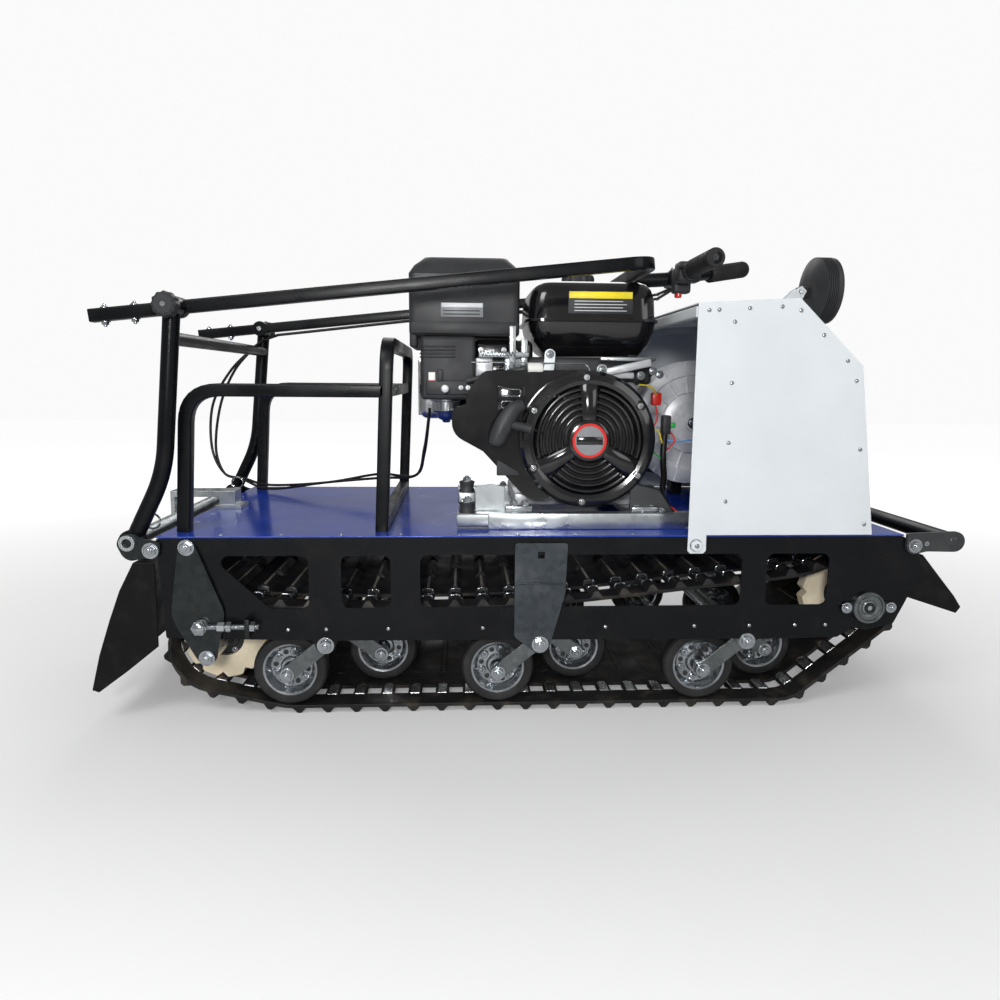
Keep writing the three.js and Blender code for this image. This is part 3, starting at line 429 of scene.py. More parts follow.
class Form:
    """A mesh built up in millimetres from closed solids, each with its own material."""

    def __init__(self):
        self.bm = bmesh.new()
        self.names = []

    def shell(self, points, faces, look):
        """Adds one closed solid from its points and its faces, which hold point numbers."""
        if look not in self.names:
            self.names.append(look)
        made = [self.bm.verts.new(p) for p in points]
        for corners in faces:
            face = self.bm.faces.new([made[i] for i in corners])
            face.material_index = self.names.index(look)
        return self

    def block(self, corner, opposite, look, radius=1.0, steps=2, turn=None, pivot=None):
        """A box with rounded edges, turned about `pivot` if a matrix is given."""
        part = bmesh.new()
        bmesh.ops.create_cube(part, size=1.0)
        lo, hi = Vector(corner), Vector(opposite)
        lo, hi = Vector(map(min, lo, hi)), Vector(map(max, lo, hi))
        size = hi - lo
        middle = (lo + hi) / 2
        for v in part.verts:
            v.co = middle + Vector((v.co.x * size.x, v.co.y * size.y, v.co.z * size.z))
        reach = min(radius, min(size) * 0.45)
        if reach > 0:
            bmesh.ops.bevel(part, geom=part.edges[:], offset=reach, segments=steps,
                            profile=0.5, affect="EDGES", clamp_overlap=True)
        if turn is not None:
            centre = middle if pivot is None else pivot
            for v in part.verts:
                v.co = centre + turn @ (v.co - centre)
        part.verts.index_update()
        points = [v.co.copy() for v in part.verts]
        faces = [[v.index for v in f.verts] for f in part.faces]
        part.free()
        return self.shell(points, faces, look)

    def blocks(self, origin, *rows):
        """Boxes, each a row of two corners measured from `origin`, a look, a radius and perhaps steps."""
        for corner, opposite, *finish in rows:
            self.block(origin + Vector(corner), origin + Vector(opposite), *finish)
        return self

    def lathe(self, centre, axis, profile, look, sides=40, closed=False, phase=0.0):
        """A solid of revolution. The profile holds (radius, distance along axis)."""
        turn = Z_AXIS.rotation_difference(Vector(axis)).to_matrix()
        points, rings = [], []
        for radius, along in profile:
            if radius < 1e-6:
                rings.append([len(points)] * sides)
                points.append(centre + turn @ at(0, 0, along))
                continue
            rings.append(list(range(len(points), len(points) + sides)))
            for i in range(sides):
                t = phase + 2 * math.pi * i / sides
                points.append(centre + turn @ at(radius * math.cos(t), radius * math.sin(t), along))
        faces = []
        for a, b in zip(rings, rings[1:] + (rings[:1] if closed else [])):
            for i in range(sides):
                j = (i + 1) % sides
                corners = list(dict.fromkeys((a[i], a[j], b[j], b[i])))
                if len(corners) > 2:
                    faces.append(corners)
        return self.shell(points, faces, look)

    def rod(self, centre, axis, radius, start, end, look, sides=24):
        """A plain cylinder between two distances along the axis."""
        return self.lathe(centre, axis, [(0, start), (radius, start), (radius, end), (0, end)], look, sides)

    def sweep(self, path, outline, look, side=(0, 1, 0), scales=None):
        """An outline carried along a path, closed at both ends. `side` is the outline's first axis."""
        path = [Vector(p) for p in path]
        path = [path[0]] + [p for q, p in zip(path, path[1:]) if (p - q).length > 0.01]
        first = Vector(side)
        points, faces = [], []
        n = len(outline)
        for i, here in enumerate(path):
            into = (here - path[i - 1]).normalized() if i else (path[1] - here).normalized()
            out = (path[i + 1] - here).normalized() if i + 1 < len(path) else into
            along = (into + out).normalized()
            first = (first - along * first.dot(along)).normalized()
            second = along.cross(first)
            stretch = 1 / max(0.5, into.dot(along))
            size = scales[min(i, len(scales) - 1)] if scales else 1
            for u, v in outline:
                points.append(here + first * (u * size) + second * (v * size * (stretch if i else 1)))
        for i in range(len(path) - 1):
            for k in range(n):
                m = (k + 1) % n
                faces.append((i * n + k, i * n + m, (i + 1) * n + m, (i + 1) * n + k))
        faces.append(tuple(range(n))[::-1])
        faces.append(tuple(range((len(path) - 1) * n, len(path) * n)))
        return self.shell(points, faces, look)

    def stack(self, levels, look):
        """A solid through level rounded rectangles, each (z, x0, x1, y0, y1, corner radius)."""
        rings = []
        for z, x0, x1, y0, y1, radius in levels:
            ring = round_loop([(x0, y0), (x1, y0), (x1, y1), (x0, y1)], radius, 8)
            rings.append([at(x, y, z) for x, y in ring])
        n = len(rings[0])
        faces = [tuple(range(n))[::-1], tuple(range((len(rings) - 1) * n, len(rings) * n))]
        for i in range(len(rings) - 1):
            for k in range(n):
                m = (k + 1) % n
                faces.append((i * n + k, i * n + m, (i + 1) * n + m, (i + 1) * n + k))
        return self.shell([p for ring in rings for p in ring], faces, look)

    def moulding(self, lo, hi, levels, look, far=1.0):
        """A stack inside a box. Each level is (z, inset, corner radius), and `far` scales the inset at +X."""
        self.stack([(z, lo.x + d, hi.x - d * far, lo.y + d, hi.y - d, r) for z, d, r in levels], look)

    def wire(self, points, radius=3, look="cable", steps=10, sides=10):
        """A round cord that flows through all of the points."""
        self.sweep(flowing(points, steps), circle(radius, sides), look)

    def plate(self, loops, y0, y1, look):
        """A flat sheet in X and Z, with its outline first and any holes after it, from y0 to y1."""
        loops = [list(loop) for loop in loops]
        triangles = tessellate_polygon([[at(x, z, 0) for x, z in loop] for loop in loops])
        flat = [p for loop in loops for p in loop]
        n = len(flat)
        points = [at(x, y0, z) for x, z in flat] + [at(x, y1, z) for x, z in flat]
        faces = [tuple(t) for t in triangles] + [tuple(i + n for i in t)[::-1] for t in triangles]
        start = 0
        for loop in loops:
            m = len(loop)
            for k in range(m):
                a, b = start + k, start + (k + 1) % m
                faces.append((a, b, b + n, a + n))
            start += m
        return self.shell(points, faces, look)

    def bolt(self, centre, axis, radius=8.0, height=6.0, look="bright zinc"):
        """A hex head with a washer and a domed stub, standing on `centre`."""
        self.rod(centre, axis, radius * 1.35, 0, 1.4, look)
        head = [(0, 1), (radius, 1), (radius, height - 1), (radius * 0.86, height), (0, height)]
        self.lathe(centre, axis, head, look, 6, phase=0.4)
        stub = radius * 0.5
        end = height + 3
        thread = [(0, height - 1), (stub, height - 1), (stub, end - 1), (stub * 0.7, end), (0, end)]
        self.lathe(centre, axis, thread, look, 16)
        return self

    def dome(self, centre, axis, radius=3.4, height=1.9, look="bright zinc"):
        """A rivet head."""
        steps = 4
        profile = [(0, -0.5), (radius, -0.5)]
        for k in range(steps + 1):
            t = math.pi / 2 * k / steps
            profile.append((radius * math.cos(t), height * math.sin(t)))
        return self.lathe(centre, axis, profile[:-1] + [(0, height)], look, 14)

    def make(self, name, body, slot, *nodes, bevel=0.5, smooth=32):
        """Turns the form into a piece that rides on a body, if one is given, and stands for CAD nodes."""
        bmesh.ops.recalc_face_normals(self.bm, faces=self.bm.faces[:])
        bmesh.ops.scale(self.bm, vec=(MM, MM, MM), verts=self.bm.verts[:])
        mesh = bpy.data.meshes.new(name)
        self.bm.to_mesh(mesh)
        self.bm.free()
        for look in self.names:
            mesh.materials.append(LOOKS[look])
        mesh.shade_smooth()
        mesh.set_sharp_from_angle(angle=math.radians(smooth))
        piece = bpy.data.objects.new(name, mesh)
        bpy.context.scene.collection.objects.link(piece)
        soften(piece, bevel)
        if body:
            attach(piece, body)
        if nodes:
            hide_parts(*nodes)
        return piece


def soften(piece, width):
    """Rounds the sharp edges of a piece by `width` millimetres."""
    if width <= 0:
        return
    modifier = piece.modifiers.new("edges", "BEVEL")
    modifier.width = width * MM
    modifier.segments = 2
    modifier.limit_method = "ANGLE"
    modifier.angle_limit = math.radians(38)
    modifier.harden_normals = True


def keep(node, look, bevel):
    """Shows a CAD node as it is, with a finish and softened edges."""
    piece = frame["nodes"][node]
    piece.data.materials.clear()
    piece.data.materials.append(LOOKS[look])
    for face in piece.data.polygons:
        face.material_index = 0
    weld = piece.modifiers.new("weld", "WELD")
    weld.merge_threshold = 0.00002
    soften(piece, bevel)
    return piece


# ---------------------------------------------------------------- track


def belt_line(outer, inner):
    """The lugs, each a tip with its two directions, and the inner line with its outward directions."""
    longest_tip = 10.5
    lugs = []
    for a, b in zip(outer, outer[1:] + outer[:1]):
        a, b = Vector(a), Vector(b)
        if (b - a).length < longest_tip:
            along = (b - a).normalized()
            lugs.append(((a + b) / 2, along, Vector((along.y, -along.x))))
    line = [Vector(p) for p in inner]
    first = min(range(len(line)), key=lambda i: (line[i] - lugs[0][0]).length)
    line = line[first:] + line[:first]
    normals = []
    for before, after in zip(line[-1:] + line[:-1], line[1:] + line[:1]):
        along = (after - before).normalized()
        normals.append(Vector((along.y, -along.x)))
    return lugs, line, normals


def belt_sheet(belt, line, normals, thick, columns, open_columns, per_lug):
    """The flat part of the belt, with two rows of windows that the sprocket teeth reach into."""
    n, wide = len(line), len(columns)
    points = []
    for level in (0, thick):
        for p, normal in zip(line, normals):
            q = p + normal * level
            points += [at(q.x, y, q.y) for y in columns]

    def corner(i, j, level):
        return level * n * wide + (i % n) * wide + j

    def solid(i, j):
        if j < 0 or j >= wide - 1:
            return False
        return not (j in open_columns and (i % n) % per_lug in (1, 2))

    faces = []
    for i in range(n):
        for j in range(wide - 1):
            if not solid(i, j):
                continue
            around = ((i, j), (i + 1, j), (i + 1, j + 1), (i, j + 1))
            faces += [tuple(corner(*c, level) for c in around) for level in (0, 1)]
            walls = (
                ((i, j - 1), (i, j), (i + 1, j)),
                ((i, j + 1), (i, j + 1), (i + 1, j + 1)),
                ((i - 1, j), (i, j), (i, j + 1)),
                ((i + 1, j), (i + 1, j), (i + 1, j + 1)),
            )
            for beyond, a, b in walls:
                if not solid(*beyond):
                    faces.append((corner(*a, 0), corner(*b, 0), corner(*b, 1), corner(*a, 1)))
    belt.shell(points, faces, "rubber")


def ridge(form, lug, y0, y1, reaches, heights, look, slope=4.0):
    """A bar across the belt at a lug. Its half widths and heights are given at its foot and at its crest."""
    tip, along, normal = lug
    points = []
    for reach, height, inset in zip(reaches, heights, (0, slope)):
        for sign in (-1, 1):
            for y in (y0 + inset, y1 - inset):
                p = tip + along * (sign * reach) + normal * height
                points.append(at(p.x, y, p.y))
    faces = [(0, 1, 3, 2), (4, 6, 7, 5), (0, 4, 5, 1), (2, 3, 7, 6), (0, 2, 6, 4), (1, 5, 7, 3)]
    form.shell(points, faces, look)


def track():
    """A rubber belt with staggered lugs, worn strips on their crests, and a steel clip at each window."""
    thick = 6.0
    lug_height = 11.0
    near = low("track_belt").y
    half = -near
    outer, inner = [anticlockwise(loop) for loop in face_loops("track_belt", near)][:2]
    lugs, line, normals = belt_line(outer, inner)
    disc_in, disc_out = low("left_drive_sprocket").y, high("left_drive_sprocket").y
    window = (disc_in - 5, disc_out + 5)
    columns = [-half, -window[1], -window[0], window[0], window[1], half]
    belt, clips, worn = Form(), Form(), Form()
    belt_sheet(belt, line, normals, thick, columns, (1, 3), round(len(line) / len(lugs)))

    # Heights run from the lug tips, so the belt's outer and inner faces are below zero.
    skin = -lug_height
    inside = skin - thick
    rows = (
        ((-half, -208), (-162, -76), (-56, 56), (76, 162), (208, half)),
        ((-half, -208), (-162, -18), (18, 162), (208, half)),
    )
    arch = ((-10, skin - 0.5), (-9, -2.5), (9, -2.5), (10, skin - 0.5))
    for k, lug in enumerate(lugs):
        tip, along, normal = lug
        for y0, y1 in rows[k % 2]:
            ridge(belt, lug, y0, y1, (12, 3.5), (skin - 0.6, -0.4), "rubber")
            if abs(y0 + y1) / 2 < half - 40:
                ridge(worn, lug, y0 + 6, y1 - 6, (2.6, 2.2), (-0.8, 0), "worn rubber", 1)
        for y0, y1 in ((-110, 110), (-166, -150), (150, 166)):
            ridge(belt, lug, y0, y1, (7, 4), (inside + 0.5, inside - 2.2), "rubber", 2)
        for sign in (-1, 1):
            y0, y1 = sorted((sign * (disc_in - 8), sign * (disc_out + 8)))
            ridge(clips, lug, y0, y1, (9, 8), (inside + 0.4, inside - 1.3), "steel", 1)
            ridge(clips, lug, y0, y1, (9, 5), (skin - 0.4, skin + 3.6), "plate zinc")
            for y in (y0, y1):
                hoop = [at(*(tip + along * reach + normal * rise), 0).xzy for reach, rise in arch]
                clips.sweep([p + Y_AXIS * y for p in bend_path(hoop, 4, 2)], circle(1.5, 6), "bright zinc")
    belt.make("rubber_track", "chassis", "track_rubber", "track_belt", bevel=0.9)
    clips.make("track_clips", "chassis", "zinc_plate", bevel=0.4)
    worn.make("lug_wear_strips", "chassis", "track_rubber", bevel=0)


# ---------------------------------------------------------------- wheels, bogies and sprockets


def road_wheel(node, body):
    """A rubber tyre on a pressed rim with six bosses, and a matt black disc in each of its six holes as
    painted shade.
    """
    lo, hi = low(node), high(node)
    centre = (lo + hi) / 2
    radius = (hi.x - lo.x) / 2
    form = Form()
    tyre = [
        (47, -14), (48, -17), (54, -18), (61, -17), (radius - 1, -13), (radius - 0.3, -8), (radius - 0.3, 8),
        (radius - 1, 13), (61, 17), (54, 18), (48, 17), (47, 14),
    ]
    rim = [
        (0, 0), (0, 7), (14, 7), (17, 6), (20, 1), (24, 0), (36, 0.5), (39, 3), (42, 11), (44, 16),
        (47.5, 17), (47.5, 14.5), (45.5, 13), (43, 9), (41, -1),
    ]
    form.lathe(centre, Y_AXIS, tyre, "tyre", 56, closed=True)
    for axis in (-Y_AXIS, Y_AXIS):
        form.lathe(centre, axis, rim, "rim zinc", 56)
        form.lathe(centre, axis, [(0, 6), (13, 6), (13, 10), (11, 12), (0, 12)], "plate zinc", 30)
        for k in range(6):
            boss = spot(centre, 30, 60 * k + 20, centre.y)
            form.lathe(boss, axis, [(0, -1), (7.5, -1), (7, 3.5), (5.5, 5), (0, 5)], "rim zinc", 20)
            form.bolt(boss + axis * 4.6, axis, 3.8, 4, "bright zinc")
            # Each hole in the rim is a matt black disc: painted shade where one would see into the dark
            # wheel.
            hole_shade = [(0, -1), (4.5, -1), (4.5, 1.2), (3, 1.8), (0, 1.8)]
            form.lathe(spot(centre, 29, 60 * k + 50, centre.y), axis, hole_shade, "matt black", 16)
    form.make(node.replace("wheel", "road_wheel"), body, "wheel_tyre", node, bevel=0)


def bogie(node, label):
    """A cross shaft, two axles and four arms, with a grease nipple on each inner arm."""
    form = Form()
    pivot = PIVOT[node + "_rock"]
    outer = PIVOT[f"right_{label}_outer_wheel_spin"]
    inner = PIVOT[f"right_{label}_inner_wheel_spin"]
    reach = high(node).y
    form.rod(pivot, Y_AXIS, 14, -282, 282, "zinc", 28)
    form.rod(pivot, Y_AXIS, 6.5, -reach + 4, reach - 4, "steel", 20)
    for end, half in ((outer, 272), (inner, 176)):
        shaft = at(end.x, 0, end.z)
        form.rod(shaft, Y_AXIS, 8, -half, half, "steel", 20)
        for sign in (-1, 1):
            y0, y1 = sign * (half - 4), sign * (half + 2)
            form.plate([link_loop(pivot, shaft, 27)], y0, y1, "arm zinc")
            form.bolt(shaft + Y_AXIS * y1, Y_AXIS * sign, 9.5, 8)
            form.rod(shaft + Y_AXIS * (y0 - sign * 12), Y_AXIS * sign, 13, 0, 12, "zinc")
    for sign in (-1, 1):
        form.bolt(at(pivot.x, sign * (reach - 8), pivot.z), Y_AXIS * sign, 11, 8)
        nipple = at(pivot.x + 30, sign * 176, pivot.z - 12)
        form.lathe(nipple, (0, sign, 0.6), [(0, -8), (3, -8), (3, 8), (1.5, 12), (0, 12)], "bright zinc", 12)
    form.make(f"{label}_bogie_frame", node, "zinc_plate", node, bevel=0.7)


def sprocket(node, body, centre):
    """A moulded toothed ring round a darker hub."""
    lo, hi = low(node), high(node)
    teeth, root, tip, opening = 10, 65.0, 75.0, 33.0
    phase = 0.0 if "drive" in node else 0.2
    rim = []
    for k in range(teeth):
        t = phase + 2 * math.pi * k / teeth
        for radius, turn in ((root, 0), (tip, 0.13), (tip, 0.5)):
            rim.append((centre.x + radius * math.cos(t + turn), centre.z + radius * math.sin(t + turn)))
    hole = [(centre.x + x, centre.z + z) for x, z in circle(opening, 48)]
    form = Form()
    form.plate([round_loop(rim, 2.5, 3), hole], lo.y, hi.y, "cream plastic")
    middle = at(centre.x, (lo.y + hi.y) / 2, centre.z)
    half_web = [(13.4, -8), (22, -8), (24, -5), (opening + 0.5, -5)]
    web = half_web + [(radius, -along) for radius, along in half_web[::-1]]
    form.lathe(middle, Y_AXIS, web, "matt black", 48, closed=True)
    for sign in (-1, 1):
        for k in range(5):
            bolt = spot(centre, 28, math.degrees(phase) + 72 * k, middle.y + sign * 5)
            form.bolt(bolt, Y_AXIS * sign, 3.6, 4)
    form.make(node + "_moulding", body, "cream_plastic", node, bevel=1.2)


def axles():
    """The drive shaft with its centred ends, and the idler shaft with a bolt in each end."""
    form = Form()
    reach = high("drive_axle").y
    half_shaft = [(12.5, reach - 1.5), (11.3, reach), (0, reach)]
    shaft = [(radius, -along) for radius, along in half_shaft[::-1]] + half_shaft
    dark_ring = [(4, 0.2), (10.6, 0.2), (10.6, 0.8), (4, 0.8)]
    form.lathe(DRIVE, Y_AXIS, shaft, "steel", 36)
    for sign in (-1, 1):
        end = at(DRIVE.x, sign * (reach - 0.4), DRIVE.z)
        form.rod(end, Y_AXIS * sign, 3.2, 0, 1, "bright zinc", 18)
        form.lathe(end, Y_AXIS * sign, dark_ring, "dull zinc", 36, closed=True)
    form.make("drive_shaft", "drive", "bright_steel", "drive_axle", bevel=0)

    form = Form()
    reach = high("idler_axle").y
    form.rod(IDLER, Y_AXIS, 12.5, -284, 284, "steel", 32)
    form.rod(IDLER, Y_AXIS, 7, -reach + 3, reach - 3, "steel")
    for sign in (-1, 1):
        form.bolt(at(IDLER.x, sign * (reach - 8), IDLER.z), Y_AXIS * sign, 10, 7)
    form.make("idler_shaft", "idler", "bright_steel", "idler_axle", bevel=0)


# ---------------------------------------------------------------- chassis


def chassis():
    """Two side plates with windows, joined by cross tubes under the deck, and all the rivets."""
    form = Form()
    thick = 3.0
    frame_low = low("chassis_frame")
    deck_rear, deck_front = low("deck_sheet").x, high("deck_sheet").x
    screw = PIVOT["right_screw_pivot"]
    for _, sign in SIDES:
        face = sign * OUT
        outline, *windows = face_loops("chassis_frame", face)
        loops = [round_loop(outline, 4), *[round_loop(loop, 9) for loop in windows]]
        form.plate(loops, face - sign * thick, face, "black paint")
        ledge = at(deck_rear + 4, face - sign * 22, DECK - 6), at(deck_front - 4, face - sign * 1, DECK - 3)
        form.block(*ledge, "black paint", 0.6)
        lug = at(screw.x + 74, sign * (OUT - 1), screw.z - 18)
        form.block(lug, lug + at(8, sign * 22, 32), "dull zinc", 1)
    for along in (22, 512, 922, 1258):
        x, z = frame_low.x + along, DECK - 17
        ends = [at(x, -OUT + thick, z), at(x, OUT - thick, z)]
        form.sweep(ends, square(24, 24, 3), "black paint", (1, 0, 0))
    form.make("chassis_side_plates", "chassis", "black_paint", "chassis_frame", bevel=0.5)

    rivets = Form()
    side_rivets = (211, 275, 380, 542, 755, 912, 1010, 1092, 1147)
    first, pitch, inset = deck_rear + 102, 100, 12
    for _, sign in SIDES:
        for along in side_rivets:
            rivets.dome(at(frame_low.x + along, sign * OUT, frame_low.z + 45), Y_AXIS * sign, 3.6, 2.2)
        for k in range(12):
            rivets.dome(at(first + pitch * k, sign * (OUT - inset), DECK), Z_AXIS, 3.6, 1.8)
    for x in (deck_rear + 24, deck_front - 24):
        for k in range(-2, 3):
            rivets.dome(at(x, 82 * k, DECK), Z_AXIS, 3.6, 1.8)
    rivets.make("chassis_rivets", "chassis", "zinc_plate", bevel=0)


def mid_brackets():
    """A plate over the middle of each side plate, with a weld across it."""
    for label, sign in SIDES:
        node = f"{label}_mid_bracket"
        lo, hi = low(node), high(node)
        face = max(abs(lo.y), abs(hi.y)) * sign
        outline, *slots = face_loops(node, face)
        form = Form()
        loops = [round_loop(outline, 6), *[round_loop(loop, 1) for loop in slots]]
        form.plate(loops, face - sign * 4.6, face, "plate zinc")
        run = [lo.x + 4 + 6 * k for k in range(14)]
        weld = flowing([at(x, face, hi.z - 71 + 0.8 * math.sin(x)) for x in run], 3)
        form.sweep(weld, circle(1.6, 8), "dull zinc", (0, 0, 1))
        form.make(f"{label}_mid_plate", "chassis", "zinc_plate", node, bevel=0.5)


def drive_bearings():
    """A flanged housing with two bolts on each side plate."""
    for label, sign in SIDES:
        face = sign * (OUT + 0.4)
        centre = at(DRIVE.x, face, DRIVE.z)
        form = Form()
        housing = [
            (13.2, 0), (28.5, 0), (28.5, 6), (27, 8), (24, 8.4), (22.5, 6), (20.5, 6), (20, 7.6), (15, 7.6),
            (13.2, 6.6),
        ]
        form.lathe(centre, Y_AXIS * sign, housing, "arm zinc", 48, closed=True)
        bore = [(DRIVE.x + x, DRIVE.z + z) for x, z in circle(24, 36)]
        ears = link_loop(centre - at(40, 0, 0), centre + at(40, 0, 0), 20)
        form.plate([ears, bore], face, face + sign * 4, "dull zinc")
        for dx in (-40, 40):
            form.bolt(at(DRIVE.x + dx, face + sign * 4, DRIVE.z), Y_AXIS * sign, 7, 5)
        node = f"{label}_drive_bearing"
        form.make(f"{label}_flange_bearing", "chassis", "zinc_plate", node, bevel=0.4)


def tensioners():
    """On each side an arm that carries the idler, and the screw that pulls it."""
    pivot = PIVOT["tension_swing"]
    for label, sign in SIDES:
        node = f"{label}_tensioner_plate"
        pin = PIVOT[f"{label}_screw_pivot"]
        out = Y_AXIS * sign
        face = sign * (OUT + 6.4)
        hole = [(IDLER.x + x, IDLER.z + z) for x, z in circle(7.6, 24)]
        form = Form()
        form.plate([round_loop(face_loops(node, face)[0], 14), hole], face - sign * 6, face, "dull zinc")
        form.bolt(at(pivot.x, face, pivot.z), out, 10, 8)
        form.rod(at(pin.x, face, pin.z), out, 7, -0.5, 15, "steel")
        nut = at(pin.x, sign * (OUT + 18.5), pin.z)
        form.rod(nut, out, 13, 0, 5, "bright zinc", 6)
        form.lathe(nut, out, [(0, 4), (11, 4), (10, 8), (6.5, 10.5), (0, 11.5)], "bright zinc", 24)
        form.make(f"{label}_tensioner_arm", "tensioner", "zinc_plate", node, bevel=0.6)

        screw = Form()
        ring = [(7.8, -4.6), (12, -4.6), (12, 4.6), (7.8, 4.6)]
        screw.lathe(pin, Y_AXIS, ring, "zinc", 30, closed=True)
        axis = pin - Z_AXIS
        ahead = (1, 0, 0)
        start, end, pitch = 11.0, 96.0, 1.5
        steps = int((end - start) / (pitch / 2))
        thread = [(4.9 if k % 2 else 4.2, start + (end - start) * k / steps) for k in range(steps + 1)]
        screw.lathe(axis, ahead, [(0, start), *thread, (0, end)], "bright zinc", 20)
        for along in (43, 82):
            screw.rod(axis, ahead, 9.5, along, along + 8, "bright zinc", 6)
        screw.rod(axis, ahead, 8.6, 28, 40, "zinc", 6)
        body = f"{label}_tension_screw"
        screw.make(f"{label}_tension_bolt", body, "bright_steel", body, bevel=0.3)


def ends():
    """Bumper, rear hinge and five nodes that keep their CAD shape."""
    lo, hi = low("front_bumper"), high("front_bumper")
    tube = at(hi.x - 18, 0, hi.z - 18)
    form = Form()
    form.rod(tube, Y_AXIS, 14, -OUT, OUT, "black paint", 36)
    for sign in (-1, 1):
        out = Y_AXIS * sign
        face = sign * (OUT + 6)
        outline = round_loop(face_loops("front_bumper", face)[0], 4)
        form.plate([outline], sign * (OUT + 0.4), face, "dark steel")
        form.bolt(at(lo.x + 15, face, lo.z + 15), out, 9, 6)
        form.bolt(at(lo.x + 35, face, lo.z + 19), out, 3, 2)
        form.dome(at(tube.x, face, tube.z), out, 10, 2.5, "dark steel")
    form.make("bumper_bar", "chassis", "black_paint", "front_bumper", bevel=0.6)

    lo, hi = low("rear_hinge_beam"), high("rear_hinge_beam")
    form = Form()
    sleeve = [(7.7, -300), (13, -300), (13, 300), (7.7, 300)]
    form.lathe(HINGE, Y_AXIS, sleeve, "zinc", 36, closed=True)
    for sign in (-1, 1):
        face = sign * (OUT + 6)
        outline = round_loop(face_loops("rear_hinge_beam", face)[0], 7)
        form.plate([outline], sign * (OUT + 0.4), face, "dull zinc")
        form.bolt(at(hi.x - 17, face, lo.z + 18), Y_AXIS * sign, 10, 7)
        pin_ring = [at(x, sign * 240, z) + HINGE + at(19, 0, 26) for x, z in circle(13, 24)]
        form.sweep(pin_ring, circle(1.8, 10), "bright zinc", (0, 1, 0))
    form.make("rear_hinge_tube", "chassis", "zinc_plate", "rear_hinge_beam", bevel=0.5)

    keep("deck_sheet", "blue paint", 0.8)
    keep("hitch_bracket", "zinc", 0.8)
    keep("rear_flap", "flap sheet", 1.0)
    keep("front_flap", "flap sheet", 1.0)
    keep("chain_case", "black paint", 2.0)


# ---------------------------------------------------------------- rack, portal and handle


def rack():
    """Two side rails, a hoop at the front and two cross tubes, all of one square tube."""
    lo, hi = low("cargo_rack"), high("cargo_rack")
    outline = square(22, 22, 3)
    y = hi.y - 11
    foot = lo.z
    rail = lo.z + 240.6
    top = hi.z - 11
    hoop = hi.x - 11
    form = Form()
    for side in (-y, y):
        path = [at(lo.x + 11, side, foot), at(lo.x + 26, side, rail), at(hoop - 8, side, rail)]
        form.sweep(bend_path(path, 55), outline, "black paint", (0, 1, 0))
    path = [at(hoop - 13, -y, foot), at(hoop, -y, top), at(hoop, y, top), at(hoop - 13, y, foot)]
    form.sweep(bend_path(path, 45), outline, "black paint", (1, 0, 0))
    for x, z in ((hoop - 9, rail), (hoop - 13, foot + 11)):
        form.sweep([at(x, -y, z), at(x, y, z)], outline, "black paint", (1, 0, 0))
    form.make("rack_tubes", "chassis", "black_paint", "cargo_rack", bevel=0)


def portal():
    """Two bent columns with an eye at each end, and a cross tube."""
    tube = 13.5
    column = high("steering_portal").y - tube
    form = Form()
    for y in (-column, column):
        corners = [HINGE + at(8, y, 14), HINGE + at(58, y, 114), HEAD + at(1, y, 10)]
        form.sweep(bend_path(corners, 45, 10), circle(tube, 24), "black paint")
        for centre, radius, bore in ((HINGE, 19, 13.5), (HEAD, 17, 5.6)):
            eye = [(bore, -13), (radius - 1, -13), (radius, -12), (radius, 12), (radius - 1, 13), (bore, 13)]
            form.lathe(centre + Y_AXIS * y, Y_AXIS, eye, "black paint", 36, closed=True)
    form.rod(HEAD + at(-3, 0, -51), Y_AXIS, 11, -column, column, "black paint")
    form.make("portal_tubes", "portal", "black_paint", "steering_portal", bevel=0.4)


def knobs():
    """The knob and bolt that clamp the handle on each side."""
    for label, sign in SIDES:
        node = f"{label}_fold_knob"
        out = Y_AXIS * sign
        reach = max(abs(low(node).y), abs(high(node).y))
        form = Form()
        path = [HEAD + out * along for along in (289, 291, 295, 305, 309, reach)]
        form.sweep(path, lobed(20, 1, 12, 72), "matt black", (1, 0, 0), (0.86, 0.95, 1, 1, 0.93, 0.72))
        form.rod(HEAD, out, 5, 232, 290, "steel", 18)
        form.lathe(HEAD, out, [(0, reach - 1), (5, reach - 1), (4, reach + 1), (0, reach + 1)], "steel", 18)
        form.make(f"{label}_clamp_knob", node, "matt_black_plastic", node, bevel=0)


def arm_height(x):
    """Height of the handle's two arms, which rise from the pivot towards the grips."""
    slope = 0.108
    return HEAD.z + slope * (x - HEAD.x)


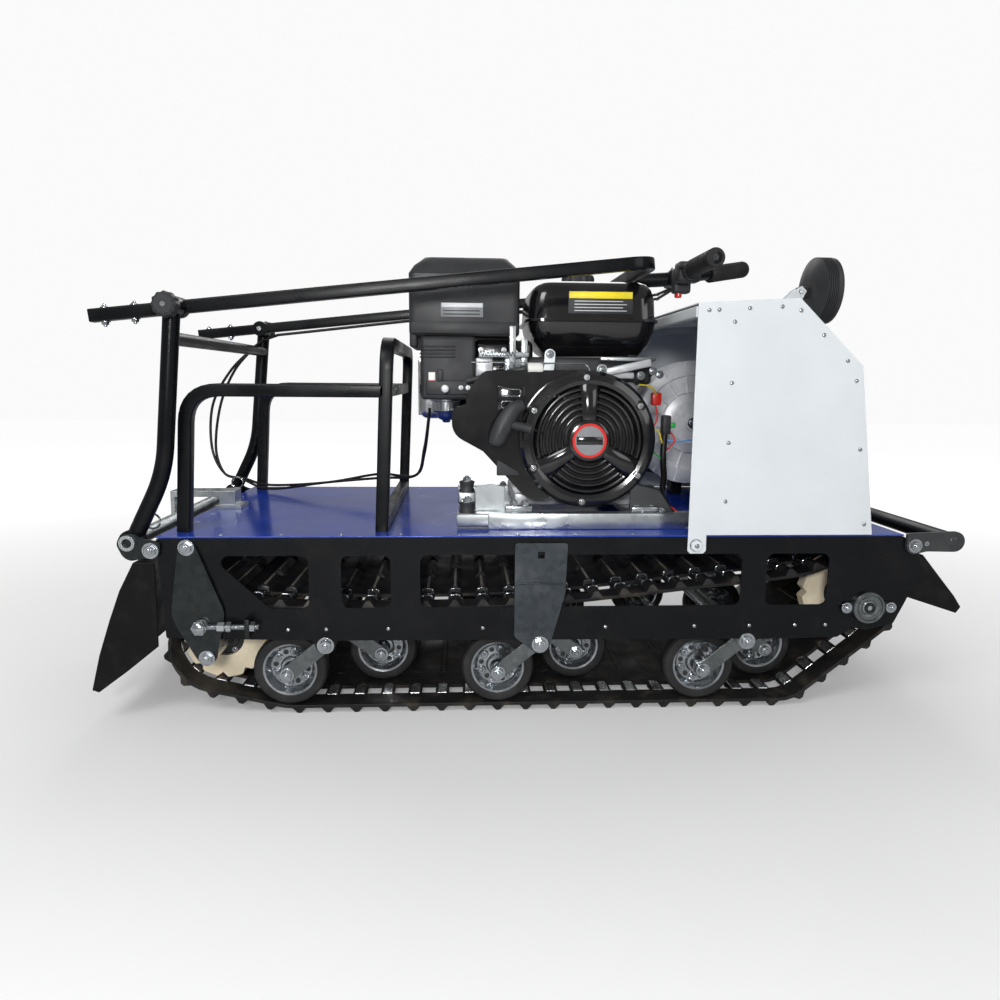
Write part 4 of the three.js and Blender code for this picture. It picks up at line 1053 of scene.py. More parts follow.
def handle():
    """A square-tube frame, a round stem and crossbar, two grips, a switch housing and the throttle paddle."""
    arm = 250
    tip, bend = HEAD.x - 139, HEAD.x + 785
    bar = HEAD.z + 90
    # The crossbar's line: the grips and controls are placed from it.
    place = placer(at(HEAD.x + 886, 0, bar))
    frame_corners = [at(x, y, arm_height(x)) for x, y in ((tip, -arm), (bend, -arm), (bend, arm), (tip, arm))]
    form = Form()
    form.sweep(bend_path(frame_corners, 45, 10), square(21, 21, 2.6), "black paint", (0, 0, 1))
    for sign in (-1, 1):
        clamp = [(5.6, -11), (16, -11), (17, -9), (17, 9), (16, 11), (5.6, 11)]
        form.lathe(HEAD + Y_AXIS * sign * 249.6, Y_AXIS, clamp, "black paint", 36, closed=True)
        for x in (tip + 22, tip + 70):
            middle = at(x, sign * arm, arm_height(x))
            form.bolt(middle + Z_AXIS * 10.5, Z_AXIS, 5, 4)
            form.bolt(middle - Z_AXIS * 10.5, -Z_AXIS, 6, 6)
    form.sweep([at(bend, 0, arm_height(bend)), place(12, -16, 0)], circle(14, 24), "black paint")
    crossbar = bend_path([place(0, -262, 2), place(6, -16, 0), place(174, 80, 34)], 24)
    form.sweep(crossbar, circle(11, 20), "black paint", (0, 0, 1))
    form.block(place(-14, -40, -17), place(28, 10, 15), "black paint", 5, 3)
    for x in (-4, 18):
        form.bolt(place(x, -16, 15), Z_AXIS, 4, 4)

    grips = Form()
    steps = 60
    scales = [0.9] + [1.0 if k % 4 < 2 else 0.955 for k in range(1, steps)] + [0.9]
    for start, end, radius in (
        (place(0, -262, 2), place(0, -140, 2), 16.5),
        (place(86, 30, 16), place(178, 82, 35), 17),
    ):
        path = [start.lerp(end, k / steps) for k in range(steps + 1)]
        grips.sweep(path, circle(radius, 28), "soft grip", (0, 0, 1), scales)
    end_cap = [(0, -2), (5, -2), (5, 0.6), (3, 0.8), (0, -0.4)]
    grips.lathe(place(0, -262, 2), -Y_AXIS, end_cap, "matt black", 20)
    grips.make("hand_grips", "handle", "matt_black_plastic", bevel=0)
    form.make("handle_tubes", "handle", "black_paint", "handlebar_frame", bevel=0.3)

    controls = Form()
    controls.block(place(-18, -112, -18), place(26, -78, 20), "matt black", 6, 3)
    controls.block(place(-14, -70, -34), place(20, -46, 14), "matt black", 5, 3)
    controls.lathe(place(-2, -58, -33), -Z_AXIS, [(0, 0), (7, 0), (7, 7), (5, 9), (0, 9)], "red plastic", 24)
    controls.make("switch_and_throttle_housing", "handle", "matt_black_plastic", bevel=0.3)

    lo = low("throttle_lever")
    pivot = PIVOT["throttle_press"]
    lever = Form()
    ring = [(12.2, -6), (16, -6), (17, -5), (17, 5), (16, 6), (12.2, 6)]
    lever.lathe(pivot, Y_AXIS, ring, "matt black", 36, closed=True)
    blade = [at(pivot.x - 14, -121, bar + 6), at(lo.x + 5, -124, bar + 7), at(lo.x + 4, lo.y + 4, bar + 8)]
    lever.sweep(bend_path(blade, 8), square(8, 5, 1.8), "matt black", (0, 0, 1))
    lever.make("throttle_paddle", "throttle_lever", "matt_black_plastic", "throttle_lever", bevel=0.2)


# ---------------------------------------------------------------- engine


def recoil():
    """Starter cover: a bolted ring, three spokes, curved bars between them and a plain round badge."""
    c = CRANK
    out = -Y_AXIS
    front = low("recoil_cover").y
    place = placer(at(c.x, front, c.z))
    axis = place(0, 0, 0)
    form = Form()
    ring = [
        (84, -22), (118, -38.6), (121, -34), (120, -20), (114, -13), (104, -10), (97, -12), (94, -18),
        (86, -20),
    ]
    form.lathe(axis, out, ring, "gloss black", 96, closed=True)
    # A near-black disc behind the bars: painted shade, so that the slots between the bars look dark.
    form.rod(axis, out, 88, -32, -27, "cable", 64)
    form.lathe(axis, out, [(0, -29), (38, -29), (38, -6), (35, -2), (30, -0.5), (0, -0.5)], "gloss black", 64)

    # A spoke is its middle and its half width, in degrees. The first comes again, a full turn on, because
    # the bars run from each spoke to the next.
    spokes = ((90, 14), (212, 17), (328, 17), (450, 14))
    crown = [(8 * x, 14 * z) for x, z in circle(1, 36)]
    # Along a spoke: distance from the middle, depth behind the cover's front, and width.
    spine = (
        (32, 11, 0.9), (38, 10.5, 1), (48, 10.5, 1.05), (62, 12, 1.15), (76, 15, 1.3), (88, 19, 1.4),
        (94, 22, 1.42),
    )
    bridges = Form()
    for (middle, half), (following, width) in zip(spokes, spokes[1:]):
        path = [spot(c, radius, middle, front + depth) for radius, depth, _ in spine]
        bridges.sweep(path, crown, "gloss black", (0, 1, 0), [size for _, _, size in spine])
        for k in range(5):
            path = arc(c, 46.5 + 10.8 * k, middle + half - 3, following - width + 3, 24, front + 11)
            form.sweep(path, square(9, 5.4, 2.4), "gloss black", (0, 1, 0))
    for angle, radius in ((34, 108), (93, 109), (152, 109), (207, 108), (265, 109), (325, 108)):
        seat = spot(c, radius, angle, front + 11.5)
        form.lathe(seat, out, [(0, -8), (9.5, -8), (9.5, 0), (8, 1), (0, 1)], "gloss black", 28)
        form.bolt(seat - Y_AXIS * 0.5, out, 3.9, 4, "steel")
    # Five small matt black squares on the ring stand in for vent openings: painted shade.
    for k in range(5):
        vent = place(-80 + 9 * k, 10, 76 - (k - 2) ** 2)
        form.block(vent + at(-2.6, -1, -2.6), vent + at(2.6, 1, 2.6), "matt black", 0.8)
    form.make("starter_cover", "chassis", "gloss_black_plastic", "recoil_cover", bevel=0.8)
    bridges.make("starter_cover_spokes", "chassis", "gloss_black_plastic", bevel=0, smooth=60)

    badge = Form()
    face = place(0, 0.8, 0)
    badge.lathe(face, out, [(25.5, 0), (30, 0), (30, 1.4), (25.5, 1.4)], "red plastic", 64, closed=True)
    badge.rod(face, out, 25.6, 0, 0.9, "grey label", 64)
    badge.block(face + at(-23, -1.3, -7), face + at(23, -0.6, 7), "gloss black", 0.3)
    badge.make("plain_round_badge", "chassis", "gloss_black_plastic", bevel=0.2)


def starter_handle():
    """A tapered grip on a stem, and the cord that ties it to the reel behind the cover."""
    place = placer(at(CRANK.x, low("recoil_cover").y, CRANK.z))
    grip = Form()
    bend = ((-115, 9, 62), (-131, 8, 54), (-144, 8, 36), (-154, 8, 17), (-161, 8, -1), (-163, 8, -9))
    body = flowing([place(*point) for point in bend], 6)
    count = len(body)
    scales = [0.35 + 0.65 * math.sin(math.pi * min(1, (k + 1) / count * 0.92)) ** 0.6 for k in range(count)]
    grip.sweep(body, [(x * 0.75, y) for x, y in circle(16, 24)], "matt black", (0, 1, 0), scales)
    stem = [place(*point) for point in ((-147, 8, 31), (-131, 10, 26), (-115, 12, 22), (-103, 14, 19))]
    grip.sweep(stem, circle(9, 20), "matt black", (0, 1, 0), (1.2, 0.9, 0.85, 1.15))
    grip.make("starter_grip", "recoil_handle", "matt_black_plastic", "recoil_handle", bevel=0)

    reel, tie = place(-79, 17, 14), place(-109, 13, 20)
    cord = Form()
    cord.sweep([reel.lerp(tie, k / 8) for k in range(9)], circle(2.2, 12), "cable")
    piece = cord.make("starter_cord", None, "matt_black_plastic", bevel=0)
    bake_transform(piece)


def shroud():
    """The fan shroud with a raised skirt and duct, and a vent plate with two staples."""
    lo, hi = low("fan_shroud"), high("fan_shroud")
    outline = round_loop(face_loops("fan_shroud", lo.y)[0], 22)
    lip = [(CRANK.x + (x - CRANK.x) * 0.975, CRANK.z + (z - CRANK.z) * 0.975) for x, z in outline]
    form = Form()
    form.plate([outline], lo.y + 4, hi.y, "gloss black")
    form.plate([lip], lo.y, lo.y + 4.5, "gloss black")
    # Outlines of the skirt and the duct, from the crankshaft.
    skirt = (
        (-239, 55), (-239, 11), (-195, -11), (-152, -58), (-103, -111), (-57, -111), (-105, -21), (-165, 69),
    )
    duct = ((-217, 57), (-209, 87), (-191, 109), (-145, 121), (-85, 119), (-85, 69), (-165, 29))
    for loop, radius, depth in ((skirt, 16, 11), (duct, 20, 7)):
        around = [(CRANK.x + x, CRANK.z + z) for x, z in loop]
        form.plate([round_loop(around, radius)], lo.y + 57, lo.y + depth, "gloss black")
    form.make("engine_shroud", "chassis", "gloss_black_plastic", "fan_shroud", bevel=5.0)

    vent = Form()
    vent.blocks(CRANK, ((-159, -310, 50), (-111, -306, 93), "gloss black", 1.5))
    for z in (60, 81):
        ring = round_loop([(-152, z - 6), (-118, z - 6), (-118, z + 6), (-152, z + 6)], 5, 4)
        path = [CRANK + at(x, -310.4, y) for x, y in ring]
        vent.sweep(path + path[:1], circle(1.3, 8), "bright zinc", (0, 1, 0))
    vent.blocks(CRANK, ((-159, -301, -67), (-118, -296, 29), "dark steel", 2))
    vent.make("vent_plate", "chassis", "zinc_plate", bevel=0.3)


def engine():
    """Crankcase, a finned cylinder that leans to the rear, the covers above and the far side's flange."""
    foot = low("engine_block").z
    form = Form()
    form.blocks(
        CRANK,
        ((-123, -246, foot - CRANK.z), (121, -40, -107), "cast alloy", 4),
        ((-103, -250, -113), (107, -42, 101), "cast alloy", 14, 3),
    )
    lean = Matrix.Rotation(math.radians(-62), 3, "Y")
    base = CRANK + at(-35, -118, 9)
    fins = [((-69, -66, 90 + 9.2 * i), (69, 66, 93.4 + 9.2 * i), "cast alloy", 1.2) for i in range(9)]
    barrel = ((-50, -50, 0), (50, 50, 180), "cast alloy", 8)
    head = ((-64, -58, 168), (64, 58, 195), "black paint", 8, 3)
    for corner, opposite, look, radius, *steps in (*fins, barrel, head):
        form.block(base + at(*corner), base + at(*opposite), look, radius, *steps or [2], lean, base)
    for dy in (-44, 44):
        for dx in (-48, 48):
            form.bolt(base + lean @ at(dx, dy, 195), lean @ Z_AXIS, 6, 5)
    form.blocks(
        CRANK,
        ((-201, -228, 97), (-89, -70, 177), "gloss black", 12, 3),
        ((-105, -238, 97), (133, -56, 146), "matt black", 8, 3),
    )
    flange = [(0, 56), (48, 56), (48, 64), (44, 65.2), (0, 65.2)]
    form.lathe(at(CRANK.x, 0, CRANK.z), Y_AXIS, flange, "cast alloy", 48)
    for k in range(8):
        form.bolt(spot(CRANK, 84, 45 * k + 22, 58), Y_AXIS, 5.5, 5)
    filler = [(0, 0), (13, 0), (13, 40), (16, 42), (16, 52), (0, 52)]
    form.lathe(CRANK + at(-85, -60, -91), (-1, 0.4, 0.5), filler, "matt black", 28)
    form.rod(CRANK + at(85, -248, -93), -Y_AXIS, 9, 0, 8, "bright zinc", 6)
    form.make("engine_casting", "chassis", "cast_alloy", "engine_block", bevel=0.3)


def tank():
    """A moulded tank with a seam flange, its plain label and its cap."""
    lo, hi = low("fuel_tank"), high("fuel_tank")
    seam = lo.z + 63
    lid = (
        (seam, 5, 34), (seam + 39, 7, 34), (hi.z - 16, 12, 32), (hi.z - 6, 20, 28), (hi.z - 1.5, 30, 22),
        (hi.z, 42, 14),
    )
    pan = ((seam, 5, 34), (lo.z + 44, 9, 32), (lo.z + 22, 20, 28), (lo.z + 8, 32, 22), (lo.z, 44, 14))
    flange = ((seam - 3, 1, 33), (seam - 2, 0, 34), (seam + 2, 0, 34), (seam + 3, 1, 33))
    form = Form()
    form.moulding(lo, hi, lid, "gloss black")
    form.moulding(lo, hi, pan, "gloss black", 0.7)
    form.moulding(lo, hi, flange, "gloss black")
    for x in (36, 194):
        form.blocks(lo, ((x, 40, -3), (x + 18, 66, 18), "matt black", 3))
    form.make("petrol_tank", "chassis", "gloss_black_plastic", "fuel_tank", bevel=0)

    label = Form()
    corner = lo + at(0, 6.4, 0)
    label.blocks(
        corner,
        ((75, -0.9, 75), (193, 1, 115), "matt black", 0.4),
        ((76, -1.3, 102), (192, 1, 114), "yellow label", 0.4),
    )
    for k in range(4):
        z = 79.5 + 5.6 * k
        label.blocks(corner, ((86, -1.2, z), (182 - 7 * (k % 2), 1, z + 1.5), "silver label", 0.2))
    label.make("plain_tank_label", "chassis", "gloss_black_plastic", bevel=0)

    cap = PIVOT["fuel_cap_turn"]
    base = low("fuel_cap").z
    form = Form()
    path = [at(cap.x, cap.y, base + rise) for rise in (0, 3, 14, 19, 23)]
    form.sweep(path, lobed(31, 1.2, 15, 60), "matt black", (1, 0, 0), (0.86, 1, 1, 0.94, 0.7))
    form.make("filler_cap", "fuel_cap", "matt_black_plastic", "fuel_cap", bevel=0)


def air_cleaner():
    """The filter box with its lid, its wing stud and its plain label."""
    lo, hi = low("air_cleaner"), high("air_cleaner")
    size = hi - lo
    shoulder = hi.z - 33
    body = ((lo.z + 18, 4, 10), (lo.z + 21, 1, 13), (lo.z + 25, 0, 14), (shoulder, 0, 14))
    lid = (
        (shoulder - 1, 2, 14), (shoulder + 1, 0, 14), (shoulder + 16, 9, 18), (hi.z - 6, 22, 16),
        (hi.z - 1.5, 27, 14), (hi.z, 34, 10),
    )
    form = Form()
    form.moulding(lo, hi, body, "matt black")
    form.moulding(lo, hi, lid, "matt black", 0.8)
    form.blocks(
        lo,
        ((4, -1.6, 21), (size.x - 3, 6, 42), "matt black", 2),
        ((1, 4, -3), (15, size.y - 20, 35), "matt black", 4),
    )
    stud = [(0, -2), (7, -2), (7, 2), (3, 3), (3, 8), (0, 8)]
    form.lathe(lo + at(size.x / 2, size.y / 2, size.z), Z_AXIS, stud, "steel", 20)
    form.make("air_filter_box", "chassis", "matt_black_plastic", "air_cleaner", bevel=0.6)

    label = Form()
    label.blocks(
        lo,
        ((58, -1, 51), (134, 1, 76), "grey label", 0.4),
        ((59, -1.4, 68), (133, 1, 75.5), "silver label", 0.3),
        *(((62, -1.4, z), (128, 1, z + 2), "matt black", 0.2) for z in (55, 61)),
    )
    label.make("plain_filter_label", "chassis", "matt_black_plastic", bevel=0)


def carburettor():
    """A ribbed black body with a plated bowl under it, a plain mark and the choke knob."""
    lo, hi = low("carburettor"), high("carburettor")
    form = Form()
    form.block(lo + at(0, 0, 36), hi, "matt black", 7, 3)
    edge = 0.8
    rib = [(lo.x - edge, lo.y - edge), (hi.x - 34, lo.y - edge), (hi.x - 34, hi.y), (lo.x - edge, hi.y)]
    for k in range(4):
        path = [at(x, y, lo.z + 112 + 6.2 * k) for x, y in round_loop(rib, 8)]
        form.sweep(path, circle(1.5, 8), "matt black", (0, 0, 1))
    form.blocks(
        lo,
        ((10, -4, 45), (104, 6, 70), "matt black", 2),
        ((30, -5, 68), (40, 4, 90), "matt black", 2),
    )
    bowl = at((lo.x + hi.x) / 2 - 4, lo.y + 40, lo.z)
    cup = [(0, 11), (22, 11), (26, 15), (26, 32), (29, 33), (29, 38), (0, 38)]
    drain = [(0, -7), (6, -7), (8, -3), (14, 0), (18, 6), (19, 12), (0, 12)]
    form.lathe(bowl, Z_AXIS, cup, "bright zinc", 44)
    form.lathe(bowl, Z_AXIS, drain, "blue plastic", 32)
    for k in range(3):
        form.bolt(lo + at(72 + 13 * k, -4, 58), -Y_AXIS, 3.2, 2.5, "cast alloy")
    form.make("carburettor_body", "chassis", "matt_black_plastic", "carburettor", bevel=0.5)

    mark = Form()
    mark.blocks(
        lo,
        ((14, -1, 51), (26, 1, 85), "white plastic", 0.3),
        *(((14.5, -1.4, z), (25.5, 1, z + 4), "red plastic", 0.2) for z in (52, 67)),
    )
    mark.make("plain_carburettor_mark", "chassis", "matt_black_plastic", bevel=0)

    lo, hi = low("choke_lever"), high("choke_lever")
    centre = at((lo.x + hi.x) / 2, hi.y, (lo.z + hi.z) / 2)
    stem = [(0, 0.1), (3, 0.1), (3, 15.5), (6, 17.5), (7.4, 21.5), (6.4, 26.5), (0, 28.5)]
    knob = Form()
    knob.lathe(centre, -Y_AXIS, stem, "cast alloy", 28)
    knob.make("choke_knob", "choke_lever", "matt_black_plastic", "choke_lever", bevel=0)


def exhaust():
    """A seamed silencer with a bent outlet, and five matt black bars that paint the shade in its five slots,
    on the far side.
    """
    lo = low("muffler")
    form = Form()
    form.blocks(
        lo,
        ((0, 0, 0), (140, 84, 128), "steel", 18, 4),
        ((-4, 38, 6), (144, 45, 124), "steel", 2),
    )
    outlet = bend_path([lo + at(66, 74, 48), lo + at(66, 110, 48), lo + at(30, 130, 38)], 18)
    form.sweep(outlet, circle(14, 24), "steel")
    # The slots are matt black bars on the face: painted shade.
    for k in range(5):
        form.blocks(lo, ((16 + 24 * k, 83, 78), (28 + 24 * k, 86, 116), "matt black", 1))
    form.make("silencer", "chassis", "bright_steel", "muffler", bevel=0.3)


def linkage():
    """Governor rod, brackets and other small metal between the tank and the shroud."""
    place = placer(CRANK)
    y = -296
    form = Form()
    rod = bend_path([place(-205, y, 134), place(-1, y, 133), place(7, y, 119)], 8)
    form.sweep(rod, circle(1.3, 8), "bright zinc")
    hose = [place(-213, -280, 101), place(-145, -290, 115), place(-109, y, 123)]
    form.sweep(hose, circle(5.5, 14), "matt black")
    cup = [(0, 0), (10, 0), (11, 4), (11, 22), (8, 27), (0, 27)]
    form.lathe(place(-105, y, 123), (1, 0, 0), cup, "white plastic", 20)
    for x, z, tall in ((-67, 149, 30), (27, 123, 24)):
        top = place(x + 2, y, z)
        form.plate([link_loop(place(x, y, z - tall), top, 19)], top.y + 6, top.y + 9, "zinc")
        form.bolt(top + Y_AXIS * 6, -Y_AXIS, 5.5, 4)
    slope = Matrix.Rotation(-0.22, 3, "Y")
    form.blocks(
        CRANK,
        ((25, -284, 119), (121, -270, 133), "cast alloy", 3, 2, slope),
        ((25, -276, 107), (91, -260, 119), "cast alloy", 3),
        ((29, -272, 139), (131, -260, 146), "zinc", 2),
        ((-137, -276, 121), (-125, -270, 199), "zinc", 2),
        ((-115, -268, 113), (-103, -260, 177), "zinc", 2),
    )
    for k in range(4):
        form.bolt(place(-187 + 21 * k, -250, 157 - 4 * (k % 2)), -Y_AXIS, 3.6, 5, "cast alloy")
    form.blocks(
        CRANK,
        ((-191, -270, 143), (-101, -220, 153), "zinc", 2),
        ((-197, -260, 109), (-165, -210, 143), "cast alloy", 4),
        ((-145, -260, 113), (-111, -230, 145), "bright zinc", 3),
    )
    spring_start = place(-189, -286, 149)
    turns = [0.7 * k for k in range(90)]
    spring = [spring_start + at(t, 4 * math.cos(t), 4 * math.sin(t)) for t in turns]
    form.sweep(spring, circle(0.8, 6), "bright zinc")
    for point in ((101, -282, 113), (123, -282, 121), (135, -282, 115)):
        form.bolt(place(*point), -Y_AXIS, 5.5, 4)
    form.make("governor_linkage", "chassis", "zinc_plate", bevel=0.3)


def cradle():
    """Two channel rails on the deck, cross plates, a gusset, rubber mounts and the engine's bolts."""
    lo, hi = low("engine_cradle"), high("engine_cradle")
    # Heights run from the deck, and the other places from the cradle's rear right corner.
    corner = at(lo.x, lo.y, DECK)
    place = placer(corner)
    length = hi.x - lo.x
    top = 28
    form = Form()
    for y0, y1 in ((4, 30), (344, 370)):
        form.blocks(
            corner,
            ((0, y0, 5), (length, y0 + 3, top), "zinc", 1),
            ((0, y0, top - 3), (length, y1, top), "zinc", 1),
            ((0, y0, 5), (length, y1, 8), "zinc", 1),
            ((55, y0 - 4, lo.z - DECK), (407, y0 - 0.6, top + 1), "zinc", 1.2),
        )
    for x0, x1 in ((75, 135), (305, 365)):
        form.blocks(corner, ((x0, 4, 19), (x1, 370, top - 0.4), "zinc", 1.5))

    def sheet(outline, y0, y1, look):
        form.plate([[(corner.x + x, corner.z + z) for x, z in outline]], corner.y + y0, corner.y + y1, look)

    sheet(((309, 19), (387, 19), (387, 31), (361, 69), (321, 81), (309, 81)), 14, 18, "dark steel")
    edge = [place(315, 18, 81), place(361, 18, 69), place(389, 18, 29)]
    form.sweep(edge, square(12, 2.4, 1), "dull zinc", (0, 1, 0))
    sheet(((33, 27), (85, 27), (85, 71), (61, 77), (33, 71)), 36, 40, "zinc")
    mount = [(0, 0), (14, 0), (14, 3), (12.6, 6), (12.6, 13), (14, 16), (14, 19), (0, 19)]
    for y, rise in ((18, 0), (56, 32)):
        seat = place(18, y, top + rise)
        if rise:
            form.block(seat - at(15, 15, rise), seat + at(15, 15, 0), "zinc", 2)
        form.lathe(seat, Z_AXIS, mount, "matt black", 30)
        form.bolt(seat + Z_AXIS * 19, Z_AXIS, 8, 7)
    for x in (331, 365):
        form.bolt(place(x, 14, 29), -Y_AXIS, 6, 5)
    for x in (101, 121, 321, 349):
        form.bolt(place(x, 24, 40), Z_AXIS, 8, 7)
        form.bolt(place(x, 357, top), Z_AXIS, 8, 7)
    form.blocks(
        corner,
        ((85, 8, top), (133, 32, 41), "bright zinc", 2),
        ((311, 8, top), (361, 32, 39), "bright zinc", 2),
    )
    form.make("cradle_rails", "chassis", "zinc_plate", "engine_cradle", bevel=0.4)


# ---------------------------------------------------------------- belt drive


def sheave(form, centre, y, sign, radius, ribs, look):
    """One half of a pulley: a shallow cone with a ribbed recess and a flat ring on its outer face."""
    shape = (
        (0, 4), (1, 12), (1, 16), (0.955, 19), (0.93, 21), (0.77, 22), (0.75, 16.5), (0.5, 17.5), (0.48, 24),
        (0.36, 27), (0.335, 30), (0.14, 30), (0.12, 34), (0, 34),
    )
    face = [(radius * share, along) for share, along in shape]
    form.lathe(at(centre.x, y, centre.z), Y_AXIS * sign, face, look, 80)
    for k in range(ribs):
        angle = 360 * k / ribs + 8
        for start, end, along, tall, wide in ((0.47, 0.78, 18, 8, 4), (0.8, 0.985, 19.4, 5, 2.4)):
            rib = [spot(centre, radius * share, angle, y + sign * along) for share in (start, end)]
            form.sweep(rib, square(tall, wide, 1), look, (0, 1, 0))


def pulleys():
    """The engine's and the driven pulley with their belt."""
    for centre, node, name, body, ribs, look in (
        (CRANK, "primary_pulley", "engine_sheaves", "crankshaft", 10, "cast alloy"),
        # The driven pulley's paler alloy is painted light, standing in for the light that reaches it under
        # the hood.
        (JACK, "driven_pulley", "driven_sheaves", "jackshaft", 16, "alloy with painted light"),
    ):
        lo, hi = low(node), high(node)
        form = Form()
        for sign in (-1, 1):
            sheave(form, centre, CRANK.y, sign, (hi.x - lo.x) / 2, ribs, look)
        form.rod(at(centre.x, 0, centre.z), Y_AXIS, 10, lo.y, hi.y, "steel", 28)
        form.bolt(at(centre.x, lo.y + 1, centre.z), -Y_AXIS, 9, 6)
        form.make(name, body, "cast_alloy", node, bevel=0.5)

    near, far = low("drive_belt").y, high("drive_belt").y
    loops = [anticlockwise(loop) for loop in face_loops("drive_belt", near)[:2]]
    form = Form()
    form.plate([round_loop(loop, 6, 3) for loop in loops], near, far, "rubber")
    form.make("variator_belt", "chassis", "track_rubber", "drive_belt", bevel=0.8)


def wiring():
    """Connector, relay, loom and loose wires beside the driven pulley."""
    y = -216
    form = Form()
    form.blocks(
        JACK,
        ((-141, -225, 44), (-123, -207, 68), "red plastic", 3),
        ((-119, -226, -11), (-103, -204, 25), "matt black", 3),
        ((-103, -222, 1), (-93, -210, 11), "green plastic", 2),
    )
    down = ((-113, 0, -11), (-115, -4, -55), (-111, 0, -95), (-113, 6, -133))
    loom = [JACK + at(x, y + dy, z) for x, dy, z in down]
    form.sweep(flowing(loom), circle(6, 16), "cable", (1, 0, 0))
    runs = (
        ("red plastic", ((-132, 0, 45), (-130, -6, 19), (-139, -6, 0), (-149, 0, -7))),
        ("yellow label", ((-149, 0, -5), (-129, -8, -3), (-121, -8, -21), (-115, 0, -35))),
        ("green plastic", ((-145, 0, -35), (-133, -8, -47), (-121, -6, -57), (-115, 0, -65))),
        ("pale blue plastic", ((-111, 0, -23), (-89, -6, -25), (-67, 0, -23), (-45, 0, -19))),
        ("red plastic", ((-103, 0, -5), (-95, -8, -21), (-101, -8, -33), (-109, 0, -43))),
        ("yellow label", ((-171, -20, 83), (-149, -24, 79), (-135, -10, 65), (-129, 0, 55))),
        ("cable", ((-115, 0, -105), (-107, -8, -133), (-93, -8, -155), (-79, 0, -161))),
        ("red plastic", ((-109, -10, -139), (-93, -20, -155), (-75, -30, -163), (-55, -30, -167))),
    )
    for look, points in runs:
        form.wire([JACK + at(x, y + dy, z) for x, dy, z in points], 1.5, look, 8, 8)
    form.make("wiring_loom", "chassis", "matt_black_plastic", bevel=0.2)


# ---------------------------------------------------------------- hood and headlamp


def hood():
    """The CAD's hood, with rivets along its edges and ribs under its top."""
    keep("hood", "grey paint", 0.5)
    lo, hi = low("hood"), high("hood")
    rear, top = lo.x, DECK + 389
    edge = ((rear, top), (rear + 170, top + 10), (rear + 285, top - 100), (hi.x, DECK))
    corners = [Vector(p) for p in edge]
    shares = ((0.2, 0.5, 0.82), (0.1, 0.46, 0.84), (0.08, 0.48, 0.93))
    inset = 13
    form = Form()
    for sign in (-1, 1):
        out = Y_AXIS * sign
        skin = sign * (OUT + 2.3)
        for a, b, places in zip(corners, corners[1:], shares):
            along = (b - a).normalized()
            inward = Vector((along.y, -along.x)) * inset
            for share in places:
                p = a.lerp(b, share) + inward
                form.dome(at(p.x, skin, p.y), out, 3.6, 2.2, "rim zinc")
        for k in range(4):
            form.dome(at(rear + 62, skin, top - 30 - 100 * k), out, 3.6, 2.2, "rim zinc")
        form.dome(at(rear + 18, skin, top - 12), out, 3.6, 2.2)
        form.bolt(at(rear + 14, skin, DECK - 17), out, 8, 6)
    form.make("hood_rivets", "chassis", "zinc_plate", bevel=0)

    ribs = Form()
    for y in (-278, 0, 278):
        path = [at(rear + 4, y, top - 12), at(rear + 163, y, top - 5)]
        ribs.sweep(path, square(26, 16, 2), "grey paint", (0, 1, 0))
    cross = [at(rear + 6, y, top - 14) for y in (-286, 286)]
    ribs.sweep(cross, square(16, 18, 2), "grey paint", (1, 0, 0))
    ribs.make("hood_ribs", "chassis", "grey_paint", bevel=0.3)


def headlamp():
    """A round lamp with a finned body, on a small bracket that tilts."""
    lo, hi = low("headlamp"), high("headlamp")
    centre = at(0, 0, (lo.z + hi.z) / 2)
    ahead = (1, 0, 0)
    radius = (hi.z - lo.z) / 2
    rear, front = hi.x - 46, hi.x
    profile = [(0, rear), (28, rear), (48, rear + 4), (60, rear + 10)]
    for k in range(7):
        x = rear + 12 + k * 3.6
        profile += [(radius, x), (radius, x + 1.8), (radius - 2.4, x + 2.2), (radius - 2.4, x + 3.4)]
    bezel = ((0, -6), (1, -1), (5, 0), (9, -3), (9, -8))
    profile += [*((radius - inset, front + along) for inset, along in bezel), (0, front - 8)]
    form = Form()
    form.lathe(centre, ahead, profile, "matt black", 72)
    pivot = PIVOT["lamp_tilt"]
    form.block(pivot + at(-4, -8, -10), pivot + at(22, 8, 10), "matt black", 2)
    form.rod(pivot, Y_AXIS, 4, -15, 15, "bright zinc", 18)
    inner = radius - 9.5
    dish = ((0, -7.6), (inner, -7.6), (inner, -4.6), (0, -7))
    glass = ((0, -4.4), (inner, -4.4), (inner, -3), (inner * 0.6, -1), (0, -0.4))
    for shape, look in ((dish, "bright zinc"), (glass, "lamp glass")):
        form.lathe(centre, ahead, [(reach, front + along) for reach, along in shape], look, 56)
    form.make("headlamp_housing", "headlamp", "matt_black_plastic", "headlamp", bevel=0)


# ---------------------------------------------------------------- cables


